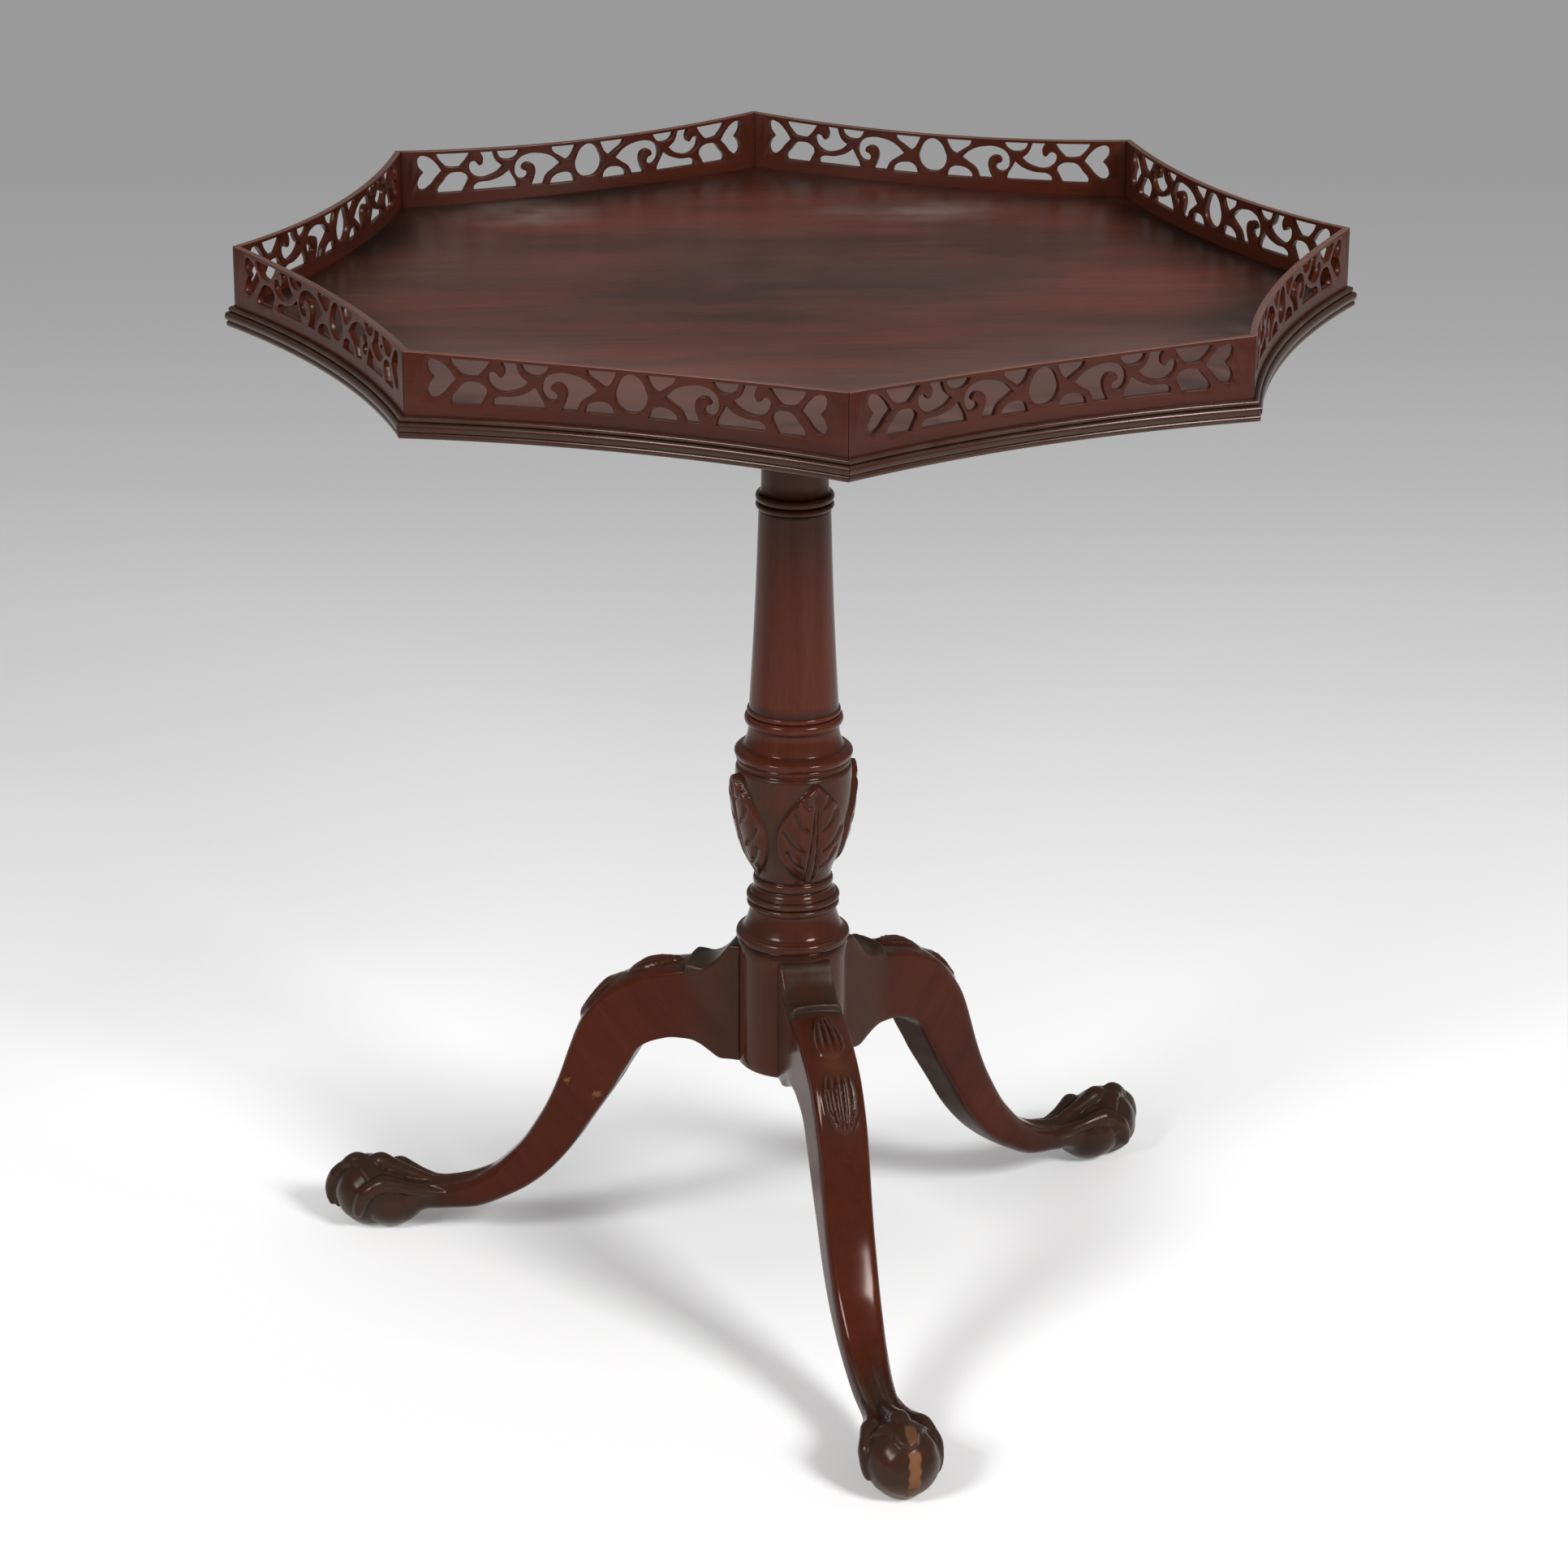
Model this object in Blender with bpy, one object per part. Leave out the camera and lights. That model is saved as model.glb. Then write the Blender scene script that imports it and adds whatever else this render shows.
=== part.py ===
"""Tilt-top tea table: a pierced eight-sided gallery top on a turned pillar with three claw-foot legs.

The frame has +Z up and its origin on the floor under the pillar's axis. Corners of the top lie on X and Y.
The top turns on two wooden pins at the back (+Y) and is locked by a sliding bolt at the front (-Y).
"""

import math

import bmesh
import bpy
from mathutils import Matrix, Vector

MM = 0.001
FULL_TURN = 2 * math.pi
SHARP_ANGLE = math.radians(35)
MERGE_DISTANCE = 0.001 * MM

# Clearances
JOINT_GAP = 0.3 * MM
PIN_GAP = 0.5 * MM
MITRE_GAP = 0.3 * MM
SWING_GAP = 0.5 * MM

# Top: board, gallery and edge moulding
SIDE_COUNT = 8
RIM_HEIGHT = 724 * MM
GALLERY_CORNER_RADIUS = 351.3 * MM
SIDE_HOLLOW = 13.7 * MM
SIDE_STEPS = 6
GALLERY_HEIGHT = 38.5 * MM
GALLERY_DIP = 3.0 * MM
GALLERY_THICKNESS = 4.0 * MM
GALLERY_SEAT = 4.0 * MM
BOARD_THICKNESS = 13.5 * MM
UPPER_REED = 3.4 * MM
MAIN_REED = 5.4 * MM
LOWER_REED = 4.1 * MM
UPPER_REED_REACH = 3.2 * MM
MAIN_REED_REACH = 5.2 * MM
LOWER_REED_REACH = 4.4 * MM
REED_QUIRK = 1.4 * MM
REED_SHOULDER = 0.28

# Fret pattern, drawn in millimetres on a panel of this half length and height, right half only
FRET_HALF_LENGTH = 135.4
FRET_HEIGHT = 35.5
FRET_PEAR = [(0, 10.2), (6.2, 12.2), (9.7, 18.5), (8.6, 25), (4.8, 31), (0, 32.9)]
FRET_OPENINGS = {
    "top_point": [(9.2, 33.2), (26.6, 33.2), (25.8, 30.6), (16.3, 23.8), (14, 24.8)],
    "dome": [(10.2, 7.8), (28.4, 7.8), (26.6, 12.2), (20, 15), (13.6, 13.8), (10.4, 11)],
    "scroll": [(20.3, 21.2), (27, 27), (36.2, 29.9), (45, 29.7), (51.4, 26.4), (53.6, 21), (52.4, 15.4),
               (47.8, 13.3), (44.2, 15.8), (45.4, 18.5), (48.3, 19.8), (47.4, 23), (43.8, 24.1),
               (40.2, 22.6), (38.7, 18.4), (42, 8.4), (33, 8.4), (30.2, 14.2), (24.5, 18)],
    "bud": [(49.3, 33.2), (65.8, 33.2), (64.4, 29.4), (58.5, 27.3), (52.4, 28.8)],
    "wedge": [(51.8, 8.2), (82.6, 8.2), (82, 11.8), (69.5, 14.2), (62.3, 16.6), (57.4, 20.2), (52.8, 12)],
    "crescent": [(61.8, 23), (66.6, 26.8), (69, 33.2), (77.5, 33.2), (75.6, 28), (78.2, 24.2), (81.9, 27.6),
                 (84.9, 26.7), (85.4, 22.8), (82.2, 18.4), (77, 16.4), (71, 17.4), (65.3, 19.8)],
    "upper_fan": [(84.4, 33.2), (108, 33.2), (107.2, 30.8), (101.3, 24.8), (92, 24.2)],
    "lower_fan": [(86, 16.5), (90, 20.4), (99.3, 20.2), (103.8, 15.5), (107.8, 9.8), (107, 7.8), (90.2, 7.8)],
    "heart": [(104.4, 21.8), (108.4, 27.2), (115.4, 32.1), (120.2, 31.8), (121, 26.6), (117, 21.9),
              (120.6, 17.6), (121, 12.8), (118.4, 10.4), (112.4, 13.4), (108.8, 17.6)],
}

# Tilt block, pins and battens under the board
BLOCK_WIDTH = 110 * MM
BLOCK_DEPTH = 120 * MM
BLOCK_THICKNESS = 38 * MM
PIN_RADIUS = 8 * MM
PIN_SHY = 2.6 * MM
PIN_SIDES = 12
ROUND_STEPS = 4
BATTEN_WIDTH = 32 * MM
BATTEN_WALL_ABOVE_PIN = 5 * MM
BATTEN_WALL_BELOW_PIN = 4.3 * MM
BATTEN_HALF_LENGTH = 255 * MM
BATTEN_END_THICKNESS = 10 * MM
BATTEN_END_TAPER = 60 * MM
BATTEN_SIDE_GAP = 0.6 * MM

# Pillar: turned members from the floor side up, each with its own length and radii
PILLAR_BOTTOM = 163 * MM
PILLAR_SEGMENTS = 18
BASE_LENGTH = 87 * MM
BASE_RADIUS = 36 * MM
BASE_BEAD_LENGTH = 9 * MM
BASE_BEAD_SWELL = 1.6 * MM
BELL_LENGTH = 15 * MM
BELL_INSET = 2.5 * MM
BELL_NECK_RADIUS = 28.3 * MM
BELL_DEPTH = 0.55
TWIN_BEAD_LENGTH = 4.8 * MM
TWIN_BEAD_SWELL = 2.3 * MM
STEM_COVE_LENGTH = 6.4 * MM
STEM_RADIUS = 25.3 * MM
STEM_BEAD_LENGTH = 5.4 * MM
STEM_BEAD_SWELL = 1.0 * MM
URN_LENGTH = 68.6 * MM
URN_NECK_RADIUS = 25.1 * MM
URN_RADIUS = 42.6 * MM
# Share of the urn's length, and share of its swell reached there
URN_SHAPE = [(0, 0), (0.06, 0.1), (0.12, 0.25), (0.19, 0.4), (0.32, 0.59), (0.46, 0.72), (0.59, 0.82),
             (0.74, 0.9), (0.88, 0.97), (1, 1)]
COLLAR_LENGTH = 9 * MM
COLLAR_CORE_RADIUS = 37 * MM
COLLAR_SWELL = 2 * MM
FILLET_LENGTH = 4 * MM
FILLET_RADIUS = 37.3 * MM
DRUM_LENGTH = 8.7 * MM
DRUM_CORE_RADIUS = 34.6 * MM
DRUM_SWELL = 4 * MM
FLARE_LENGTH = 12.3 * MM
FLARE_INSET = 2.6 * MM
FLARE_NECK_RADIUS = 29.4 * MM
SHAFT_RING_LENGTH = 11.5 * MM
SHAFT_RING_SWELL = 2.5 * MM
SHAFT_FOOT_RADIUS = 28.6 * MM
SHAFT_TOP_RADIUS = 22.7 * MM
SHAFT_HOLLOW = 0.6 * MM
ASTRAGAL_LENGTH = 12 * MM
ASTRAGAL_CORE = 1.0 * MM
ASTRAGAL_SWELL = 1.5 * MM
NECK_LENGTH = 52.5 * MM
NECK_RADIUS = 21.8 * MM
CAPITAL_LENGTH = 21.4 * MM
CAPITAL_RADIUS = 33 * MM
CAPITAL_FILLET = 3 * MM
TURNED_STEP = 1 * MM
BEAD_SHOULDER = 0.3
COVE_DEPTH = 0.25
TENON_RADIUS = 16 * MM
TENON_SHY = 0.7 * MM

# Wedges that spread the tenon in the block
WEDGE_COUNT = 2
WEDGE_SPACING = 12 * MM
WEDGE_WALL = 3 * MM
WEDGE_DEPTH = 24 * MM
WEDGE_HEAD = 3.2 * MM
WEDGE_POINT = 1.4 * MM

# Legs: a curved knee measured from the pillar's flat, and a shin measured back from the ball
LEG_NAMES = ("front", "right", "left")
LEG_COUNT = len(LEG_NAMES)
FIRST_LEG_ANGLE = math.radians(-81.7)
LEG_HALF_WIDTH = 18 * MM
LEG_DROP = 3.6 * MM
FOOT_REACH = 305 * MM
LEG_STEPS = 2
# Knee rows in millimetres: top edge reach and drop from the leg's top, lower edge reach and rise from the
# pillar's bottom, narrowing of the half width, crown above the top edge
KNEE_ROWS = [(0, 0, 0, 0, 0, 0), (6.8, 0, 7, 0, 0, 0), (18, 13.4, 15.5, 0.6, 0, 6), (35, 22.4, 29, 9, 0, 4.5),
             (59, 28.4, 45, 11.2, 0.2, 6), (86, 41.9, 65, 4.5, 0.5, 6), (109, 65.9, 81, -16, 1, 4)]
# Shin rows in millimetres: top edge distance and height, lower edge distance and height, then as above
SHIN_ROWS = [(145, 133, 175, 117, 1.5, 2), (117, 80, 138, 63.5, 2.5, 1.5), (92, 54, 108, 38.5, 3.8, 1.5),
             (56, 38.5, 60, 20, 5.6, 1.5), (40, 38.5, 41, 16, 4.6, 1.5), (27, 40.5, 34, 7, 3.4, 1.5),
             (9, 43.5, 15, 2.5, 2.6, 1)]
# Points round a section: share of the half width, share of the depth from the lower edge, share of the crown
LEG_SECTION = [(1, 1, 0), (0.55, 1, 1), (-0.55, 1, 1), (-1, 1, 0), (-1.02, 0.55, 0), (-0.94, 0.06, 0),
               (-0.7, 0, 0), (0.7, 0, 0), (0.94, 0.06, 0), (1.02, 0.55, 0)]
DOVETAIL_LAP = 1 * MM
DOVETAIL_DEPTH = 13.5 * MM
DOVETAIL_HEIGHT = 72 * MM
DOVETAIL_NECK = 10 * MM
DOVETAIL_TAIL = 16 * MM

# Claw-and-ball feet
BALL_RADIUS = 24 * MM
BALL_PAD_RADIUS = 8 * MM
TOE_SPREAD = math.radians(84)
TOE_HALF_ANGLE = math.radians(13)
KNUCKLE_HEIGHT = 7 * MM
SPUR_SHARE = 0.75
BALL_COLUMNS = (0.36 * TOE_SPREAD, 0.64 * TOE_SPREAD, math.radians(120), math.radians(144))
# Rows: angle down from the top of the ball in degrees, share of the knuckle height there
TOE_ROWS = [(22, 1.0), (42, 0.7), (60, 0.95), (78, 0.68), (94, 0.72), (110, 0.45), (128, 0.12)]

# Iron spider plate under the pillar
SPIDER_THICKNESS = 2 * MM
SPIDER_ARM_WIDTH = 16 * MM
SPIDER_OVERLAP = 12 * MM
SPIDER_SCREW_SETBACK = 6.3 * MM

# Sliding bolt and its strike
CATCH_PLATE_WIDTH = 40 * MM
CATCH_PLATE_LENGTH = 52 * MM
CATCH_PLATE_THICKNESS = 2 * MM
CATCH_STANDOFF = 5 * MM
GUIDE_WIDTH = 15 * MM
GUIDE_LENGTH = 7 * MM
GUIDE_SPACING = 32 * MM
GUIDE_WALL = 2.5 * MM
BOLT_RADIUS = 4 * MM
BOLT_LENGTH = 56 * MM
BOLT_NOSE_GAP = 2 * MM
BOLT_DROP = 10 * MM
BOLT_SIDES = 10
BOLT_THROW = 10 * MM
BOLT_END_ROOM = 6 * MM
BOLT_CHAMFER = 1 * MM
KNOB_STEM_RADIUS = 2.5 * MM
KNOB_RADIUS = 6 * MM
KNOB_HEIGHT = 8 * MM
KNOB_EASE = 2 * MM
STRIKE_WIDTH = 40 * MM
STRIKE_HEIGHT = 16 * MM
STRIKE_THICKNESS = 1.6 * MM

# Wood screws
SCREW_SIDES = 6
HEAD_DEPTH = 2.2 * MM
BATTEN_SCREW_HEAD = 4.5 * MM
BATTEN_SCREW_SHANK = 2.2 * MM
BATTEN_SCREW_SINK = 4 * MM
BATTEN_SCREW_BITE = 6 * MM
BATTEN_SCREW_SETBACK = 20 * MM
CATCH_SCREW_HEAD = 3 * MM
CATCH_SCREW_SHANK = 1.5 * MM
CATCH_SCREW_BITE = 7 * MM
CATCH_SCREW_INSET = 6 * MM
STRIKE_SCREW_HEAD = 2.8 * MM
STRIKE_SCREW_SHANK = 1.4 * MM
STRIKE_SCREW_LENGTH = 14 * MM
STRIKE_SCREW_INSET = 6.5 * MM
SPIDER_SCREW_HEAD = 3.4 * MM
SPIDER_SCREW_SHANK = 1.7 * MM
SPIDER_SCREW_LENGTH = 20 * MM

# Levels and lengths worked out from the sizes above
BOARD_TOP = RIM_HEIGHT - GALLERY_HEIGHT
BOARD_UNDERSIDE = BOARD_TOP - BOARD_THICKNESS
BLOCK_TOP = BOARD_UNDERSIDE - JOINT_GAP
BLOCK_BOTTOM = BLOCK_TOP - BLOCK_THICKNESS
BATTEN_TOP = BOARD_UNDERSIDE - JOINT_GAP
PIN_BORE = PIN_RADIUS + PIN_GAP
PIN_HEIGHT = BATTEN_TOP - BATTEN_WALL_ABOVE_PIN - PIN_BORE
PIN_LENGTH = BATTEN_SIDE_GAP + BATTEN_WIDTH - PIN_SHY
BATTEN_BOTTOM = PIN_HEIGHT - PIN_BORE - BATTEN_WALL_BELOW_PIN
BATTEN_MIDDLE = BLOCK_WIDTH / 2 + BATTEN_SIDE_GAP + BATTEN_WIDTH / 2
BLOCK_ROUND = BLOCK_TOP - PIN_HEIGHT
PIN_BACK = BLOCK_DEPTH / 2 - BLOCK_ROUND + SWING_GAP
BLOCK_FRONT = -BLOCK_DEPTH / 2
BASE_TOP = PILLAR_BOTTOM + BASE_LENGTH
LEG_TOP = BASE_TOP - LEG_DROP
FLAT_REACH = math.sqrt(BASE_RADIUS ** 2 - LEG_HALF_WIDTH ** 2)
LEG_START = FLAT_REACH + JOINT_GAP
BALL_CENTRE = math.sqrt(BALL_RADIUS ** 2 - BALL_PAD_RADIUS ** 2)
BOLT_BORE = BOLT_RADIUS + PIN_GAP
BOLT_HEIGHT = BOARD_UNDERSIDE - BOLT_DROP
BOLT_NOSE = BLOCK_FRONT - BOLT_NOSE_GAP
CATCH_MIDDLE = BLOCK_FRONT - CATCH_STANDOFF - CATCH_PLATE_LENGTH / 2
GUIDE_BOTTOM = BOLT_HEIGHT - BOLT_BORE - GUIDE_WALL
KNOB_PLACE = CATCH_MIDDLE + (GUIDE_SPACING - GUIDE_LENGTH) / 2 - KNOB_STEM_RADIUS - PIN_GAP - BOLT_THROW

# Screws as length, head radius and shank radius
BATTEN_SCREW = (BATTEN_TOP - BATTEN_BOTTOM - BATTEN_SCREW_SINK + BATTEN_SCREW_BITE, BATTEN_SCREW_HEAD,
                BATTEN_SCREW_SHANK)
CATCH_SCREW = (CATCH_PLATE_THICKNESS + CATCH_SCREW_BITE, CATCH_SCREW_HEAD, CATCH_SCREW_SHANK)
STRIKE_SCREW = (STRIKE_SCREW_LENGTH, STRIKE_SCREW_HEAD, STRIKE_SCREW_SHANK)
SPIDER_SCREW = (SPIDER_SCREW_LENGTH, SPIDER_SCREW_HEAD, SPIDER_SCREW_SHANK)

# One hollow side of the top, seen from above
HALF_CORNER = math.pi / SIDE_COUNT
SIDE_CHORD = 2 * GALLERY_CORNER_RADIUS * math.sin(HALF_CORNER)
SIDE_RADIUS = SIDE_CHORD ** 2 / (8 * SIDE_HOLLOW) + SIDE_HOLLOW / 2
SIDE_CENTRE = GALLERY_CORNER_RADIUS * math.cos(HALF_CORNER) - SIDE_HOLLOW + SIDE_RADIUS


def clear_scene():
    """Take every object out of the scene."""
    for old in list(bpy.data.objects):
        bpy.data.objects.remove(old, do_unlink=True)


def new_material(name, colour, roughness, metallic):
    """A plain surface material."""
    material = bpy.data.materials.new(name)
    material.use_nodes = True
    surface = material.node_tree.nodes["Principled BSDF"]
    surface.inputs["Base Color"].default_value = (*colour, 1)
    surface.inputs["Roughness"].default_value = roughness
    surface.inputs["Metallic"].default_value = metallic
    return material


def mesh_from(shape, name):
    """Close a bmesh off as a mesh with its faces turned outwards."""
    bmesh.ops.recalc_face_normals(shape, faces=shape.faces[:])
    mesh = bpy.data.meshes.new(name)
    shape.to_mesh(mesh)
    shape.free()
    return mesh


def place(name, mesh, material, turn=0.0, parent=None):
    """Put a mesh into the scene as one named piece, turned about the pillar's axis."""
    piece = bpy.data.objects.new(name, mesh)
    bpy.context.scene.collection.objects.link(piece)
    if not mesh.materials:
        mesh.materials.append(material)
    mesh.shade_smooth()
    mesh.set_sharp_from_angle(angle=SHARP_ANGLE)
    piece.matrix_world = Matrix.Rotation(turn, 4, "Z")
    if parent is not None:
        piece.parent = parent
        piece.matrix_parent_inverse = parent.matrix_world.inverted()
    return piece


def joint_empty(name, location, parent=None):
    """An empty on a joint's axis, for the pieces that move on it."""
    empty = bpy.data.objects.new(name, None)
    bpy.context.scene.collection.objects.link(empty)
    empty.location = location
    bpy.context.view_layer.update()
    if parent is not None:
        empty.parent = parent
        empty.matrix_parent_inverse = parent.matrix_world.inverted()
        bpy.context.view_layer.update()
    return empty


def combine(mesh, other, operation):
    """Cut one mesh with another, or join them, into one closed body."""
    body = bpy.data.objects.new("body", mesh)
    tool = bpy.data.objects.new("tool", other)
    for part in (body, tool):
        bpy.context.scene.collection.objects.link(part)
    modifier = body.modifiers.new("combine", "BOOLEAN")
    modifier.object = tool
    modifier.operation = operation
    modifier.solver = "EXACT"
    depsgraph = bpy.context.evaluated_depsgraph_get()
    result = bpy.data.meshes.new_from_object(body.evaluated_get(depsgraph))
    result.name = mesh.name
    for part in (body, tool):
        bpy.data.objects.remove(part)
    return result


def add_box(shape, low, high):
    """Add a box between two corners."""
    middle = (Vector(low) + Vector(high)) / 2
    size = Vector(high) - Vector(low)
    matrix = Matrix.Translation(middle) @ Matrix.Diagonal((*size, 1))
    bmesh.ops.create_cube(shape, size=1, matrix=matrix)


def add_prism(shape, outline, low, high):
    """Add an upright prism over a plan outline."""
    corners = [shape.verts.new((x, y, low)) for x, y in outline]
    face = shape.faces.new(corners)
    raised = bmesh.ops.extrude_face_region(shape, geom=[face])
    top = [item for item in raised["geom"] if isinstance(item, bmesh.types.BMVert)]
    bmesh.ops.translate(shape, verts=top, vec=(0, 0, high - low))


def add_turned(shape, profile, segments, matrix=None):
    """Spin a profile of (radius, height) points, given along the axis, into a closed body."""
    verts = [shape.verts.new((radius, 0, height)) for radius, height in profile]
    edges = [shape.edges.new(pair) for pair in zip(verts, verts[1:])]
    before = set(shape.verts) - set(verts)
    bmesh.ops.spin(shape, geom=verts + edges, cent=(0, 0, 0), axis=(0, 0, 1), angle=FULL_TURN,
                   steps=segments, use_merge=True)
    turned = [vert for vert in shape.verts if vert not in before]
    bmesh.ops.remove_doubles(shape, verts=turned, dist=MERGE_DISTANCE)
    if matrix is not None:
        turned = [vert for vert in shape.verts if vert not in before]
        bmesh.ops.transform(shape, matrix=matrix, verts=turned)


def add_loft(shape, rings):
    """Skin a row of rings with the same number of points and close both ends."""
    loops = [[shape.verts.new(point) for point in ring] for ring in rings]
    count = len(loops[0])
    for near, far in zip(loops, loops[1:]):
        for step in range(count):
            after = (step + 1) % count
            shape.faces.new((near[step], near[after], far[after], far[step]))
    shape.faces.new(loops[0])
    shape.faces.new(loops[-1][::-1])


def slope(before, here, after):
    """A curve's slope at a point between two others, level where they turn back or run flat."""
    return (after - before) / 2 if (here - before) * (after - here) > 0 else 0


def smooth_rows(rows, steps):
    """Run a smooth curve that never overshoots through rows of numbers, with so many steps between two rows."""
    ends = [rows[0]] + list(rows) + [rows[-1]]
    result = []
    for index in range(1, len(ends) - 2):
        for step in range(steps):
            t = step / steps
            row = []
            for a, b, c, d in zip(*ends[index - 1:index + 3]):
                leaving = (t ** 3 - 2 * t ** 2 + t) * slope(a, b, c)
                arriving = (t ** 3 - t ** 2) * slope(b, c, d)
                blend = 3 * t ** 2 - 2 * t ** 3
                row.append(b + blend * (c - b) + leaving + arriving)
            result.append(row)
    result.append(list(rows[-1]))
    return result


def side_half_angle(offset):
    """Half the arc of one side, seen from the arc's centre, on a line that lies so far outside the gallery."""
    along = SIDE_CENTRE * math.cos(HALF_CORNER)
    radius = SIDE_RADIUS - offset
    corner = along - math.sqrt(along ** 2 - SIDE_CENTRE ** 2 + radius ** 2)
    return math.asin(corner * math.sin(HALF_CORNER) / radius)


def side_point(angle, offset, height):
    """A point on the side whose middle lies on +X, at an angle along its arc."""
    radius = SIDE_RADIUS - offset
    return Vector((SIDE_CENTRE - radius * math.cos(angle), radius * math.sin(angle), height))


def mitred_angle(offset):
    """Half the arc of one side, less half the gap at its mitre."""
    corner_slope = math.cos(side_half_angle(offset) + HALF_CORNER)
    return side_half_angle(offset) - MITRE_GAP / 2 / corner_slope / SIDE_RADIUS


def side_turn(index):
    """The turn that brings the side on +X to its place; corners lie on the axes."""
    return (2 * index + 1) * HALF_CORNER


def top_outline(offset, height):
    """The whole hollow-sided outline as points."""
    points = []
    for index in range(SIDE_COUNT):
        turn = Matrix.Rotation(side_turn(index), 3, "Z")
        for step in range(SIDE_STEPS):
            angle = side_half_angle(offset) * (2 * step / SIDE_STEPS - 1)
            points.append(turn @ side_point(angle, offset, height))
    return points


def screw_profile(size):
    """A countersunk wood screw along the axis, head at the top."""
    length, head, shank = size
    return [(0, 0), (head, 0), (shank, -HEAD_DEPTH), (shank, -length), (0, -length)]


def hole_profile(size, over):
    """The hole for a screw, open so far above its head."""
    length, head, shank = size
    wide = head + JOINT_GAP
    narrow = shank + JOINT_GAP
    return [(0, over), (wide, over), (wide, -JOINT_GAP), (narrow, -HEAD_DEPTH - JOINT_GAP),
            (narrow, -length - JOINT_GAP), (0, -length - JOINT_GAP)]


def place_screws(name, size, places, material, parent=None):
    """Equal screws, each a piece of its own."""
    for index, matrix in enumerate(places):
        shape = bmesh.new()
        add_turned(shape, screw_profile(size), SCREW_SIDES, matrix)
        place(name + "_" + str(index + 1), mesh_from(shape, name), material, parent=parent)


def screw_holes(size, places, over):
    """The holes for a group of equal screws, open above their heads."""
    shape = bmesh.new()
    for matrix in places:
        add_turned(shape, hole_profile(size, over), SCREW_SIDES, matrix)
    return mesh_from(shape, "screw_holes")


def batten_screw_places(side):
    """Heads sunk in a batten's underside, points up into the board."""
    head = BATTEN_BOTTOM + BATTEN_SCREW_SINK
    outer = BATTEN_HALF_LENGTH - BATTEN_END_TAPER - BATTEN_SCREW_SETBACK
    return [Matrix.Translation((side * BATTEN_MIDDLE, y, head)) @ Matrix.Rotation(math.pi, 4, "X")
            for y in (-outer, -outer / 2, outer)]


def catch_screw_places():
    """Heads flush with the catch plate's underside, points up into the board."""
    head = BOARD_UNDERSIDE - JOINT_GAP - CATCH_PLATE_THICKNESS
    across = CATCH_PLATE_WIDTH / 2 - CATCH_SCREW_INSET
    along = CATCH_PLATE_LENGTH / 2 - CATCH_SCREW_INSET
    return [Matrix.Translation((x, CATCH_MIDDLE + y, head)) @ Matrix.Rotation(math.pi, 4, "X")
            for x in (-across, across) for y in (-along, along)]


def strike_screw_places():
    """Heads flush with the strike's face, points back into the block."""
    across = STRIKE_WIDTH / 2 - STRIKE_SCREW_INSET
    return [Matrix.Translation((x, BLOCK_FRONT, BOLT_HEIGHT)) @ Matrix.Rotation(math.pi / 2, 4, "X")
            for x in (-across, across)]


def spider_screw_places():
    """Heads flush with the spider's underside, points up into the legs."""
    head = PILLAR_BOTTOM - JOINT_GAP - SPIDER_THICKNESS
    reach = FLAT_REACH + SPIDER_SCREW_SETBACK
    return [Matrix.Rotation(leg_angle(index), 4, "Z") @ Matrix.Translation((reach, 0, head))
            @ Matrix.Rotation(math.pi, 4, "X") for index in range(LEG_COUNT)]


def leg_angle(index):
    """Direction of a leg seen from above."""
    return FIRST_LEG_ANGLE + index * FULL_TURN / LEG_COUNT


def board_mesh():
    """The board, rebated round its upper edge for the gallery, with blind screw holes below."""
    ledge = BOARD_TOP - GALLERY_SEAT
    inside = -GALLERY_THICKNESS - JOINT_GAP
    shape = bmesh.new()
    add_loft(shape, [top_outline(0, BOARD_UNDERSIDE), top_outline(0, ledge), top_outline(inside, ledge),
                     top_outline(inside, BOARD_TOP)])
    board = mesh_from(shape, "top_board")
    places = batten_screw_places(-1) + batten_screw_places(1)
    board = combine(board, screw_holes(BATTEN_SCREW, places, JOINT_GAP), "DIFFERENCE")
    return combine(board, screw_holes(CATCH_SCREW, catch_screw_places(), JOINT_GAP), "DIFFERENCE")


def gallery_top(share):
    """Height of the gallery's rim above the board, at a share of the half length from the middle."""
    return GALLERY_HEIGHT - GALLERY_DIP * (1 - share ** 2)


def fret_loops():
    """Every opening of one panel as a loop of drawn points."""
    loops = [FRET_PEAR + [(-x, z) for x, z in FRET_PEAR[-2:0:-1]]]
    for outline in FRET_OPENINGS.values():
        loops.append(outline)
        loops.append([(-x, z) for x, z in outline])
    return loops


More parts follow.
